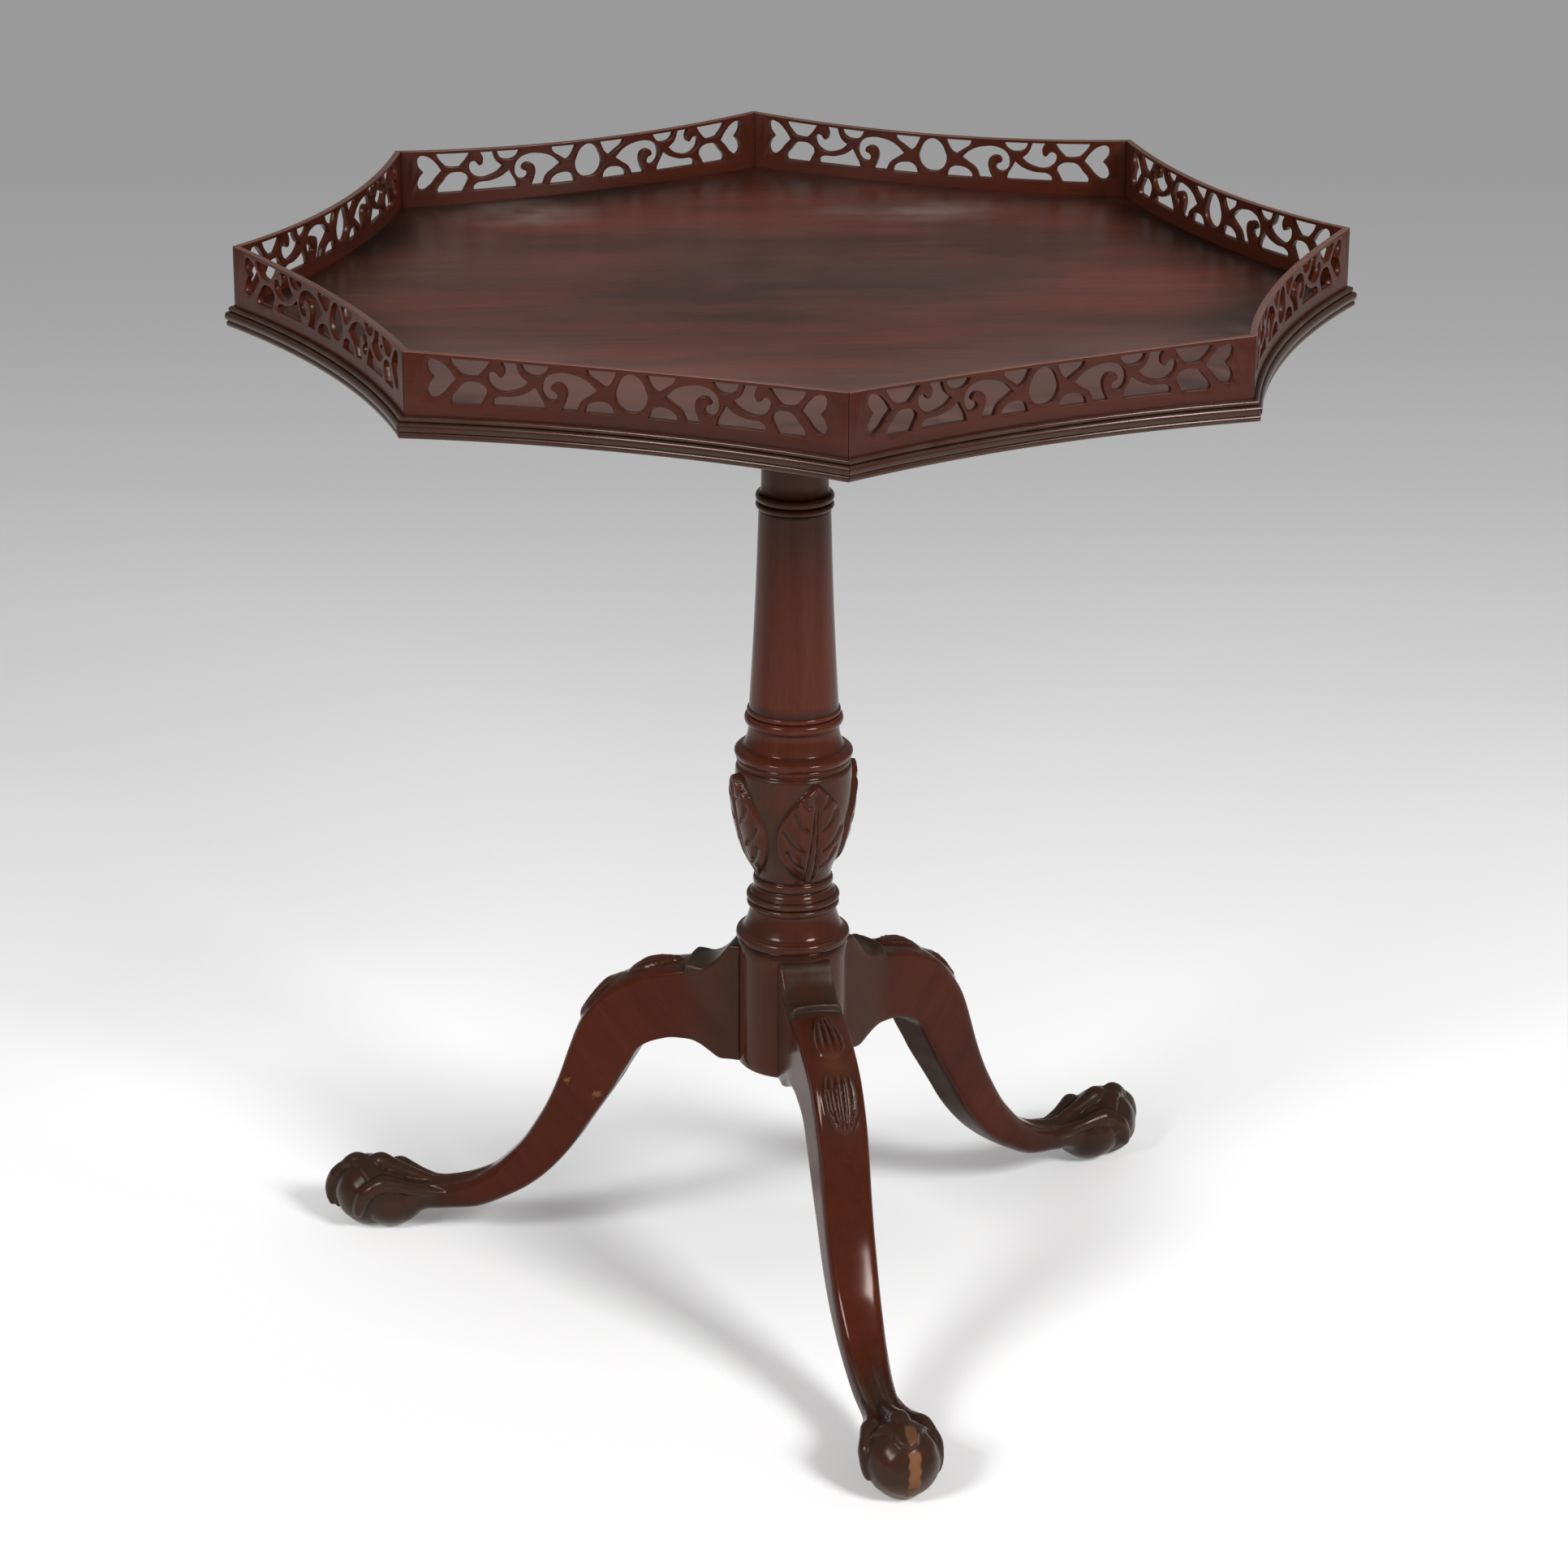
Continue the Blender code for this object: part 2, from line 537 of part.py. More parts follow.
def panel_mesh():
    """One pierced gallery panel: a flat fret with its openings, filled, thickened and bent to the side."""
    half = mitred_angle(0)
    end = half - MERGE_DISTANCE
    steps = [2 * step / SIDE_STEPS - 1 for step in range(SIDE_STEPS + 1)]
    foot = JOINT_GAP - GALLERY_SEAT
    rim = [(share, gallery_top(share)) for share in reversed(steps)]
    loops = [[(share, foot) for share in steps] + rim]
    for outline in fret_loops():
        loop = []
        for x, z in outline:
            share = x / FRET_HALF_LENGTH
            loop.append((share, z / FRET_HEIGHT * gallery_top(share)))
        loops.append(loop)
    shape = bmesh.new()
    for loop in loops:
        verts = [shape.verts.new((share * half * SIDE_RADIUS, 0, height)) for share, height in loop]
        for pair in zip(verts, verts[1:] + verts[:1]):
            shape.edges.new(pair)
    bmesh.ops.triangle_fill(shape, use_beauty=True, edges=shape.edges[:])
    thickened = bmesh.ops.extrude_face_region(shape, geom=shape.faces[:])
    inner = {item for item in thickened["geom"] if isinstance(item, bmesh.types.BMVert)}
    for vert in shape.verts:
        offset = -GALLERY_THICKNESS if vert in inner else 0
        angle = vert.co.x / SIDE_RADIUS
        if abs(angle) > end:
            angle = math.copysign(mitred_angle(offset), angle)
        vert.co = side_point(angle, offset, BOARD_TOP + vert.co.z)
    return mesh_from(shape, "gallery_panel")


def reed(top, height, reach):
    """One rounded reed of the moulding, as (offset, height) points going down."""
    root = reach - REED_QUIRK
    shoulder = height * REED_SHOULDER
    return [(root, top), (reach, top - shoulder), (reach, top - height + shoulder), (root, top - height)]


def moulding_mesh():
    """One reeded edge moulding, mitred at both ends."""
    upper = BOARD_TOP
    main = upper - UPPER_REED
    lower = main - MAIN_REED
    profile = [(JOINT_GAP, BOARD_TOP)]
    profile += reed(upper, UPPER_REED, UPPER_REED_REACH)
    profile += reed(main, MAIN_REED, MAIN_REED_REACH)
    profile += reed(lower, LOWER_REED, LOWER_REED_REACH)
    profile += [(JOINT_GAP, profile[-1][1])]
    rings = []
    for step in range(SIDE_STEPS + 1):
        share = 2 * step / SIDE_STEPS - 1
        rings.append([side_point(share * mitred_angle(offset), offset, height) for offset, height in profile])
    shape = bmesh.new()
    add_loft(shape, rings)
    return mesh_from(shape, "edge_moulding")


def batten_mesh(side):
    """A batten with tapered ends, bored for the pin and drilled for its screws."""
    low = BATTEN_BOTTOM
    end_low = BATTEN_TOP - BATTEN_END_THICKNESS
    shoulder = BATTEN_HALF_LENGTH - BATTEN_END_TAPER
    outline = [(-BATTEN_HALF_LENGTH, BATTEN_TOP), (-BATTEN_HALF_LENGTH, end_low), (-shoulder, low),
               (shoulder, low), (BATTEN_HALF_LENGTH, end_low), (BATTEN_HALF_LENGTH, BATTEN_TOP)]
    inner = side * BATTEN_MIDDLE - BATTEN_WIDTH / 2
    shape = bmesh.new()
    add_loft(shape, [[(x, y, z) for y, z in outline] for x in (inner, inner + BATTEN_WIDTH)])
    batten = mesh_from(shape, "batten")
    shape = bmesh.new()
    bore = [(0, -BATTEN_WIDTH), (PIN_BORE, -BATTEN_WIDTH), (PIN_BORE, BATTEN_WIDTH), (0, BATTEN_WIDTH)]
    centre = Matrix.Translation((side * BATTEN_MIDDLE, PIN_BACK, PIN_HEIGHT))
    add_turned(shape, bore, PIN_SIDES, centre @ Matrix.Rotation(math.pi / 2, 4, "Y"))
    batten = combine(batten, mesh_from(shape, "bore"), "DIFFERENCE")
    holes = screw_holes(BATTEN_SCREW, batten_screw_places(side), BATTEN_SCREW_SINK + JOINT_GAP)
    return combine(batten, holes, "DIFFERENCE")


def block_mesh():
    """The tilt block: rounded back edge, two pins, a tenon hole, a strike recess and a bolt hole."""
    outline = [(BLOCK_FRONT, BLOCK_BOTTOM), (PIN_BACK + BLOCK_ROUND - SWING_GAP, BLOCK_BOTTOM)]
    for step in range(ROUND_STEPS + 1):
        angle = step / ROUND_STEPS * math.pi / 2
        radius = BLOCK_ROUND - SWING_GAP * math.cos(angle)
        outline.append((PIN_BACK + radius * math.cos(angle), PIN_HEIGHT + radius * math.sin(angle)))
    outline.append((BLOCK_FRONT, BLOCK_TOP))
    half = BLOCK_WIDTH / 2
    shape = bmesh.new()
    add_loft(shape, [[(x, y, z) for y, z in outline] for x in (-half, half)])
    block = mesh_from(shape, "tilt_block")
    reach = half + PIN_LENGTH
    shape = bmesh.new()
    axis = Matrix.Translation((0, PIN_BACK, PIN_HEIGHT)) @ Matrix.Rotation(math.pi / 2, 4, "Y")
    add_turned(shape, [(0, -reach), (PIN_RADIUS, -reach), (PIN_RADIUS, reach), (0, reach)], PIN_SIDES, axis)
    block = combine(block, mesh_from(shape, "pins"), "UNION")
    shape = bmesh.new()
    hole = TENON_RADIUS + JOINT_GAP
    add_turned(shape, [(0, BLOCK_BOTTOM - SWING_GAP), (hole, BLOCK_BOTTOM - SWING_GAP),
                       (hole, BLOCK_TOP + SWING_GAP), (0, BLOCK_TOP + SWING_GAP)], PILLAR_SEGMENTS)
    block = combine(block, mesh_from(shape, "tenon_hole"), "DIFFERENCE")
    shape = bmesh.new()
    width = STRIKE_WIDTH / 2 + JOINT_GAP
    height = STRIKE_HEIGHT / 2 + JOINT_GAP
    add_box(shape, (-width, BLOCK_FRONT - SWING_GAP, BOLT_HEIGHT - height),
            (width, BLOCK_FRONT + STRIKE_THICKNESS + JOINT_GAP, BOLT_HEIGHT + height))
    block = combine(block, mesh_from(shape, "strike_recess"), "DIFFERENCE")
    block = combine(block, bolt_hole_mesh(), "DIFFERENCE")
    return combine(block, screw_holes(STRIKE_SCREW, strike_screw_places(), SWING_GAP), "DIFFERENCE")


def bolt_hole_mesh():
    """The hole that takes the thrown bolt, through the strike and into the block."""
    depth = BOLT_THROW - BOLT_NOSE_GAP + BOLT_END_ROOM
    shape = bmesh.new()
    axis = Matrix.Translation((0, BLOCK_FRONT, BOLT_HEIGHT)) @ Matrix.Rotation(-math.pi / 2, 4, "X")
    add_turned(shape, [(0, -SWING_GAP), (BOLT_BORE, -SWING_GAP), (BOLT_BORE, depth), (0, depth)],
               BOLT_SIDES, axis)
    return mesh_from(shape, "bolt_hole")


def strike_mesh():
    """The strike plate, let in flush with the block's front."""
    shape = bmesh.new()
    add_box(shape, (-STRIKE_WIDTH / 2, BLOCK_FRONT, BOLT_HEIGHT - STRIKE_HEIGHT / 2),
            (STRIKE_WIDTH / 2, BLOCK_FRONT + STRIKE_THICKNESS, BOLT_HEIGHT + STRIKE_HEIGHT / 2))
    plate = combine(mesh_from(shape, "strike_plate"), bolt_hole_mesh(), "DIFFERENCE")
    return combine(plate, screw_holes(STRIKE_SCREW, strike_screw_places(), SWING_GAP), "DIFFERENCE")


def bead(height, length, core, swell):
    """A rounded ring of the turning, as (radius, height) points going up."""
    shoulder = length * BEAD_SHOULDER
    return [(core, height), (core + swell, height + shoulder), (core + swell, height + length - shoulder),
            (core, height + length)]


def cove(height, length, start, stop, depth=COVE_DEPTH):
    """A hollow between two radii, as (radius, height) points going up."""
    middle = min(start, stop) + abs(start - stop) * depth
    return [(start, height), (middle, height + length / 2), (stop, height + length)]


def pillar_foot():
    """The turned outline from the pillar's bottom to the top of the urn."""
    points = [(0, PILLAR_BOTTOM), (BASE_RADIUS, PILLAR_BOTTOM)]
    level = BASE_TOP
    points += bead(level, BASE_BEAD_LENGTH, BASE_RADIUS, BASE_BEAD_SWELL)
    level += BASE_BEAD_LENGTH
    points += cove(level, BELL_LENGTH, BASE_RADIUS - BELL_INSET, BELL_NECK_RADIUS, BELL_DEPTH)
    level += BELL_LENGTH
    for repeat in range(2):
        points += bead(level, TWIN_BEAD_LENGTH, BELL_NECK_RADIUS, TWIN_BEAD_SWELL)[1:]
        level += TWIN_BEAD_LENGTH
    level += STEM_COVE_LENGTH
    points += bead(level, STEM_BEAD_LENGTH, STEM_RADIUS, STEM_BEAD_SWELL)
    level += STEM_BEAD_LENGTH + TURNED_STEP
    swell = URN_RADIUS - URN_NECK_RADIUS
    points += [(URN_NECK_RADIUS + share * swell, level + along * URN_LENGTH) for along, share in URN_SHAPE]
    return points


def pillar_shaft(level):
    """The turned outline from the urn's collar to the foot of the shaft."""
    points = bead(level, COLLAR_LENGTH, COLLAR_CORE_RADIUS, COLLAR_SWELL)
    level += COLLAR_LENGTH
    points += [(FILLET_RADIUS, level + TURNED_STEP), (FILLET_RADIUS, level + FILLET_LENGTH)]
    level += FILLET_LENGTH
    points += bead(level, DRUM_LENGTH, DRUM_CORE_RADIUS, DRUM_SWELL)
    level += DRUM_LENGTH
    points += cove(level, FLARE_LENGTH, DRUM_CORE_RADIUS - FLARE_INSET, FLARE_NECK_RADIUS)
    level += FLARE_LENGTH
    points += bead(level, SHAFT_RING_LENGTH, FLARE_NECK_RADIUS, SHAFT_RING_SWELL)[1:]
    return points


def pillar_profile():
    """The whole turned outline from the pillar's bottom up to the top of its tenon."""
    points = pillar_foot()
    points += pillar_shaft(points[-1][1] + TURNED_STEP)
    shaft_foot = points[-1][1] + TURNED_STEP
    shoulder = BLOCK_BOTTOM - JOINT_GAP
    capital = shoulder - CAPITAL_LENGTH
    astragal = capital - NECK_LENGTH - ASTRAGAL_LENGTH
    middle_radius = (SHAFT_FOOT_RADIUS + SHAFT_TOP_RADIUS) / 2 - SHAFT_HOLLOW
    points += [(SHAFT_FOOT_RADIUS, shaft_foot), (middle_radius, (shaft_foot + astragal) / 2),
               (SHAFT_TOP_RADIUS, astragal - TURNED_STEP)]
    half = ASTRAGAL_LENGTH / 2
    core = SHAFT_TOP_RADIUS + ASTRAGAL_CORE
    points += bead(astragal, half, core, ASTRAGAL_SWELL)
    points += bead(astragal + half, half, core, ASTRAGAL_SWELL)[1:]
    points += [(NECK_RADIUS, astragal + ASTRAGAL_LENGTH + TURNED_STEP)]
    points += cove(capital, CAPITAL_LENGTH - CAPITAL_FILLET, NECK_RADIUS, CAPITAL_RADIUS)
    points += [(CAPITAL_RADIUS, shoulder), (TENON_RADIUS, shoulder), (TENON_RADIUS, BLOCK_TOP - TENON_SHY),
               (0, BLOCK_TOP - TENON_SHY)]
    return points


def wedge_outline(gap):
    """A wedge's section across its width, or the cut for it."""
    top = BLOCK_TOP - TENON_SHY
    tip = top - WEDGE_DEPTH
    over = SWING_GAP if gap else 0
    head = WEDGE_HEAD / 2 + gap
    point = WEDGE_POINT / 2 + gap
    return [(-head, top + over), (-point, tip - gap), (point, tip - gap), (head, top + over)]


def wedge_mesh(index, gap=0.0):
    """One of the tenon's wedges, or the cut for it."""
    x = (index - (WEDGE_COUNT - 1) / 2) * WEDGE_SPACING
    half = math.sqrt((TENON_RADIUS - WEDGE_WALL) ** 2 - (abs(x) + WEDGE_HEAD / 2) ** 2) + gap
    shape = bmesh.new()
    add_loft(shape, [[(x + across, y, z) for across, z in wedge_outline(gap)] for y in (-half, half)])
    return mesh_from(shape, "tenon_wedge")


def dovetail_outline(gap=0.0):
    """The dovetail's plan, from inside the leg's end to its tail in the pillar."""
    inner = FLAT_REACH - DOVETAIL_DEPTH - gap
    outer = LEG_START + DOVETAIL_LAP
    neck = DOVETAIL_NECK / 2 + gap
    tail = DOVETAIL_TAIL / 2 + gap
    return [(outer, -neck), (outer, neck), (inner, tail), (inner, -tail)]


def pillar_mesh():
    """The turned pillar, with flats and dovetail sockets for the legs and cuts for the wedges."""
    shape = bmesh.new()
    add_turned(shape, pillar_profile(), PILLAR_SEGMENTS)
    pillar = mesh_from(shape, "pillar")
    below = PILLAR_BOTTOM - SWING_GAP
    for index in range(LEG_COUNT):
        leg_side = bmesh.new()
        clear = LEG_HALF_WIDTH + SWING_GAP
        add_box(leg_side, (FLAT_REACH, -clear, below), (2 * BASE_RADIUS, clear, LEG_TOP))
        flat = mesh_from(leg_side, "flat")
        flat.transform(Matrix.Rotation(leg_angle(index), 4, "Z"))
        pillar = combine(pillar, flat, "DIFFERENCE")
        socket = bmesh.new()
        add_prism(socket, dovetail_outline(JOINT_GAP), below, PILLAR_BOTTOM + DOVETAIL_HEIGHT + JOINT_GAP)
        cut = mesh_from(socket, "socket")
        cut.transform(Matrix.Rotation(leg_angle(index), 4, "Z"))
        pillar = combine(pillar, cut, "DIFFERENCE")
    for index in range(WEDGE_COUNT):
        pillar = combine(pillar, wedge_mesh(index, JOINT_GAP), "DIFFERENCE")
    return pillar


def leg_rows():
    """The leg's rows in metres: top edge, lower edge, half width and crown, all along its own plane."""
    rows = []
    for top_reach, drop, low_reach, rise, narrowing, crown in KNEE_ROWS:
        rows.append((LEG_START + top_reach * MM, LEG_TOP - JOINT_GAP - drop * MM, LEG_START + low_reach * MM,
                     PILLAR_BOTTOM + rise * MM, LEG_HALF_WIDTH - narrowing * MM, crown * MM))
    for top_back, top, low_back, low, narrowing, crown in SHIN_ROWS:
        rows.append((FOOT_REACH - top_back * MM, top * MM, FOOT_REACH - low_back * MM, low * MM,
                     LEG_HALF_WIDTH - narrowing * MM, crown * MM))
    return rows


def leg_ring(row):
    """One cross-section of the leg: crowned top, slightly full sides, eased lower edges."""
    top = Vector((row[0], 0, row[1]))
    low = Vector((row[2], 0, row[3]))
    width, crown = row[4:]
    up = (top - low).normalized()
    ring = []
    for across, share, lift in LEG_SECTION:
        point = low + (top - low) * share + up * crown * lift
        ring.append((point.x, across * width, point.z))
    return ring


def foot_columns():
    """Columns round the ball as (angle, share of the knuckle height), three for each toe and some between."""
    columns = []
    for angle, share in ((0, 1), (TOE_SPREAD, 1), (math.pi, SPUR_SHARE), (-TOE_SPREAD, 1)):
        columns += [(angle - TOE_HALF_ANGLE, 0), (angle, share), (angle + TOE_HALF_ANGLE, 0)]
    for angle in BALL_COLUMNS:
        columns += [(angle, 0), (-angle, 0)]
    return sorted(columns, key=lambda column: column[0] % FULL_TURN)


def foot_mesh():
    """The ball with its three toes and back spur, on a polar grid with columns along each toe."""
    columns = foot_columns()
    shape = bmesh.new()
    pole = shape.verts.new((FOOT_REACH, 0, BALL_CENTRE + BALL_RADIUS + KNUCKLE_HEIGHT))
    loops = []
    for down, lift in TOE_ROWS:
        polar = math.radians(down)
        loop = []
        for angle, share in columns:
            radius = BALL_RADIUS + KNUCKLE_HEIGHT * lift * share
            out = radius * math.sin(polar)
            loop.append(shape.verts.new((FOOT_REACH + out * math.cos(angle), out * math.sin(angle),
                                         BALL_CENTRE + radius * math.cos(polar))))
        loops.append(loop)
    loops.append([shape.verts.new((FOOT_REACH + BALL_PAD_RADIUS * math.cos(angle),
                                   BALL_PAD_RADIUS * math.sin(angle), 0)) for angle, share in columns])
    count = len(columns)
    for step in range(count):
        after = (step + 1) % count
        shape.faces.new((pole, loops[0][step], loops[0][after]))
        for near, far in zip(loops, loops[1:]):
            shape.faces.new((near[step], far[step], far[after], near[after]))
    shape.faces.new(loops[-1][::-1])
    return mesh_from(shape, "foot")


def leg_mesh():
    """One leg, drawn along +X: a lofted cabriole with a dovetail at its top and a claw foot."""
    shape = bmesh.new()
    add_loft(shape, [leg_ring(row) for row in smooth_rows(leg_rows(), LEG_STEPS)])
    leg = mesh_from(shape, "leg")
    shape = bmesh.new()
    add_prism(shape, dovetail_outline(), PILLAR_BOTTOM, PILLAR_BOTTOM + DOVETAIL_HEIGHT)
    leg = combine(leg, mesh_from(shape, "dovetail"), "UNION")
    leg = combine(leg, foot_mesh(), "UNION")
    shape = bmesh.new()
    add_turned(shape, hole_profile(SPIDER_SCREW, SWING_GAP), SCREW_SIDES,
               Matrix.Rotation(-leg_angle(0), 4, "Z") @ spider_screw_places()[0])
    return combine(leg, mesh_from(shape, "screw_hole"), "DIFFERENCE")


def spider_mesh():
    """The three-armed iron plate that ties the legs' ends to the pillar."""
    half = SPIDER_ARM_WIDTH / 2
    reach = FLAT_REACH + SPIDER_OVERLAP
    crotch = half / math.sin(math.pi / LEG_COUNT)
    outline = []
    for index in range(LEG_COUNT):
        turn = Matrix.Rotation(leg_angle(index), 2)
        outline += [tuple(turn @ Vector(corner)) for corner in ((reach, -half), (reach, half))]
        between = leg_angle(index) + math.pi / LEG_COUNT
        outline.append((crotch * math.cos(between), crotch * math.sin(between)))
    top = PILLAR_BOTTOM - JOINT_GAP
    shape = bmesh.new()
    add_prism(shape, outline, top - SPIDER_THICKNESS, top)
    plate = mesh_from(shape, "spider_plate")
    return combine(plate, screw_holes(SPIDER_SCREW, spider_screw_places(), SWING_GAP), "DIFFERENCE")


def catch_plate_mesh():
    """The bolt's plate with its two bored guides."""
    top = BOARD_UNDERSIDE - JOINT_GAP
    half_width = CATCH_PLATE_WIDTH / 2
    half_length = CATCH_PLATE_LENGTH / 2
    shape = bmesh.new()
    add_box(shape, (-half_width, CATCH_MIDDLE - half_length, top - CATCH_PLATE_THICKNESS),
            (half_width, CATCH_MIDDLE + half_length, top))
    plate = mesh_from(shape, "catch_plate")
    shape = bmesh.new()
    for end in (-1, 1):
        y = CATCH_MIDDLE + end * GUIDE_SPACING / 2
        add_box(shape, (-GUIDE_WIDTH / 2, y - GUIDE_LENGTH / 2, GUIDE_BOTTOM),
                (GUIDE_WIDTH / 2, y + GUIDE_LENGTH / 2, top - CATCH_PLATE_THICKNESS / 2))
    plate = combine(plate, mesh_from(shape, "guides"), "UNION")
    shape = bmesh.new()
    axis = Matrix.Translation((0, CATCH_MIDDLE, BOLT_HEIGHT)) @ Matrix.Rotation(math.pi / 2, 4, "X")
    bore = [(0, -half_length), (BOLT_BORE, -half_length), (BOLT_BORE, half_length), (0, half_length)]
    add_turned(shape, bore, BOLT_SIDES, axis)
    plate = combine(plate, mesh_from(shape, "guide_bore"), "DIFFERENCE")
    return combine(plate, screw_holes(CATCH_SCREW, catch_screw_places(), SWING_GAP), "DIFFERENCE")


def bolt_mesh():
    """The round bolt, drawn back, with a turned knob hanging from it."""
    shape = bmesh.new()
    axis = Matrix.Translation((0, BOLT_NOSE, BOLT_HEIGHT)) @ Matrix.Rotation(math.pi / 2, 4, "X")
    add_turned(shape, [(0, 0), (BOLT_RADIUS - BOLT_CHAMFER, 0), (BOLT_RADIUS, BOLT_CHAMFER),
                       (BOLT_RADIUS, BOLT_LENGTH), (0, BOLT_LENGTH)], BOLT_SIDES, axis)
    bolt = mesh_from(shape, "catch_bolt")
    shape = bmesh.new()
    neck = GUIDE_BOTTOM - BOLT_HEIGHT - PIN_GAP
    knob = [(0, 0), (KNOB_STEM_RADIUS, 0), (KNOB_STEM_RADIUS, neck), (KNOB_RADIUS, neck - KNOB_EASE),
            (KNOB_RADIUS, neck - KNOB_HEIGHT + KNOB_EASE), (KNOB_RADIUS - KNOB_EASE, neck - KNOB_HEIGHT),
            (0, neck - KNOB_HEIGHT)]
    add_turned(shape, knob, BOLT_SIDES, Matrix.Translation((0, KNOB_PLACE, BOLT_HEIGHT)))
    return combine(bolt, mesh_from(shape, "knob"), "UNION")


def build_base(wood, iron, brass):
    """The standing pieces: pillar, legs, spider, block and strike."""
    place("pillar", pillar_mesh(), wood)
    leg = leg_mesh()
    for index, side in enumerate(LEG_NAMES):
        place("leg_" + side, leg, wood, leg_angle(index))
    place("spider_plate", spider_mesh(), iron)
    place_screws("spider_screw", SPIDER_SCREW, spider_screw_places(), iron)
    place("tilt_block", block_mesh(), wood)
    for index in range(WEDGE_COUNT):
        place("tenon_wedge_" + str(index + 1), wedge_mesh(index), wood)
    place("strike_plate", strike_mesh(), brass)
    place_screws("strike_screw", STRIKE_SCREW, strike_screw_places(), brass)


def build_top(wood, top_wood, iron, brass):
    """The pieces that tilt, on an empty at the pins, and the bolt that slides on the top."""
    hinge = joint_empty("top_hinge", (0, PIN_BACK, PIN_HEIGHT))
    place("top_board", board_mesh(), top_wood, parent=hinge)
    panel = panel_mesh()
    moulding = moulding_mesh()
    for index in range(SIDE_COUNT):
        number = str(index + 1)
        place("gallery_panel_" + number, panel, wood, side_turn(index), hinge)
        place("edge_moulding_" + number, moulding, wood, side_turn(index), hinge)
    screws = []
    for side, name in ((-1, "left"), (1, "right")):
        place("batten_" + name, batten_mesh(side), wood, parent=hinge)
        screws += batten_screw_places(side)
    place_screws("batten_screw", BATTEN_SCREW, screws, iron, hinge)
    place("catch_plate", catch_plate_mesh(), brass, parent=hinge)
    place_screws("catch_screw", CATCH_SCREW, catch_screw_places(), brass, hinge)
    slide = joint_empty("bolt_slide", (0, BOLT_NOSE, BOLT_HEIGHT), hinge)
    place("catch_bolt", bolt_mesh(), brass, parent=slide)


def main():
    """Build the table."""
    clear_scene()
    wood = new_material("mahogany", (0.16, 0.05, 0.03), 0.35, 0)
    top_wood = new_material("mahogany_top", (0.2, 0.075, 0.05), 0.25, 0)
    iron = new_material("blackened_iron", (0.06, 0.06, 0.06), 0.6, 1)
    brass = new_material("aged_brass", (0.45, 0.3, 0.1), 0.4, 1)
    build_base(wood, iron, brass)
    build_top(wood, top_wood, iron, brass)


main()
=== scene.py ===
"""Looks of the tilt-top tea table: carved and polished pieces over the fixed model, a stage and a camera."""
import math

import bmesh
import bpy
import numpy as np
from bpy.props import FloatProperty, FloatVectorProperty, IntProperty, PointerProperty
from mathutils import Matrix, Vector


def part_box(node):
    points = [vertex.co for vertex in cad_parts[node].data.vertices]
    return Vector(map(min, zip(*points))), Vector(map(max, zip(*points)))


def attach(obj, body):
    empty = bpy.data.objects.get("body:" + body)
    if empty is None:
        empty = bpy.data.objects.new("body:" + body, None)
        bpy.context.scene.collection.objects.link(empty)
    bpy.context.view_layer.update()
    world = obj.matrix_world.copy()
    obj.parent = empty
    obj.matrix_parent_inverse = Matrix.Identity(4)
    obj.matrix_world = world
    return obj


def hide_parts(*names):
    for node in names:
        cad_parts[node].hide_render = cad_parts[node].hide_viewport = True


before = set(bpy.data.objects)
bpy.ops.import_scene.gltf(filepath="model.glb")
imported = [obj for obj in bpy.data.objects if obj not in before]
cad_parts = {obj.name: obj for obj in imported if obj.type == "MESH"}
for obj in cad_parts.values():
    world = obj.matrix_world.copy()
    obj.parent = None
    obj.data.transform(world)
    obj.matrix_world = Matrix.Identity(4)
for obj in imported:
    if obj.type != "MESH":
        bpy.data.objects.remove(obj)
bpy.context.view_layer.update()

bl_info = {
    "name": "Tilt-top tea table",
    "version": (1, 0, 0),
    "blender": (4, 5, 0),
    "location": "View3D > Sidebar > Tea Table",
    "description": "Models and finishes a tilt-top tea table with a pierced gallery",
    "category": "Add Mesh",
}

MM = 0.001
BOARD_LOW, BOARD_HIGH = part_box("top_board")
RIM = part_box("gallery_panel_1")[1].z
SIDES = 8
LEGS = (("front", -81.7), ("right", 38.3), ("left", 158.3))

# Board: rebate for the gallery, play beside it, and eased lower edge
REBATE = 4 * MM
SEAT_GAP = 0.3 * MM
BOARD_EASE = 1 * MM
# Distances inside the gallery, in millimetres, of the rings of points that carry the top's shading
SHADE_RINGS = (3, 8, 16, 28, 45, 70, 100, 130, 160, 200)
# Dark patches in the top: middle, stretch for each metre, and strength
DARK_PATCHES = (((-0.015, -0.005, 0), (6.5, 12, 0), 1.0), ((0.10, 0.11, 0), (8, 20, 0), 0.9))
# Painted pale reflections on the top beside the back panels: place across and back, and stretch for each
# metre
REFLECTION_SPOTS = ((-0.160, 0.222, (22, 26, 200)), (0.1, 0.214, (15, 36, 200)))
# Painted dark reflection in a band beside the gallery, and painted pale reflection behind the front panels:
# where each begins and is full, from the gallery inwards; where the front begins and is full; and how
# strong the pale reflection is
BAND_SPAN = (75 * MM, 4 * MM)
PALE_REFLECTION_SPAN = (200 * MM, 60 * MM)
FRONT_SPAN = (-60 * MM, -150 * MM)
PALE_REFLECTION_STRENGTH = 0.28
# Gap at the mitres of the gallery and the moulding
MITRE_GAP = 0.15 * MM

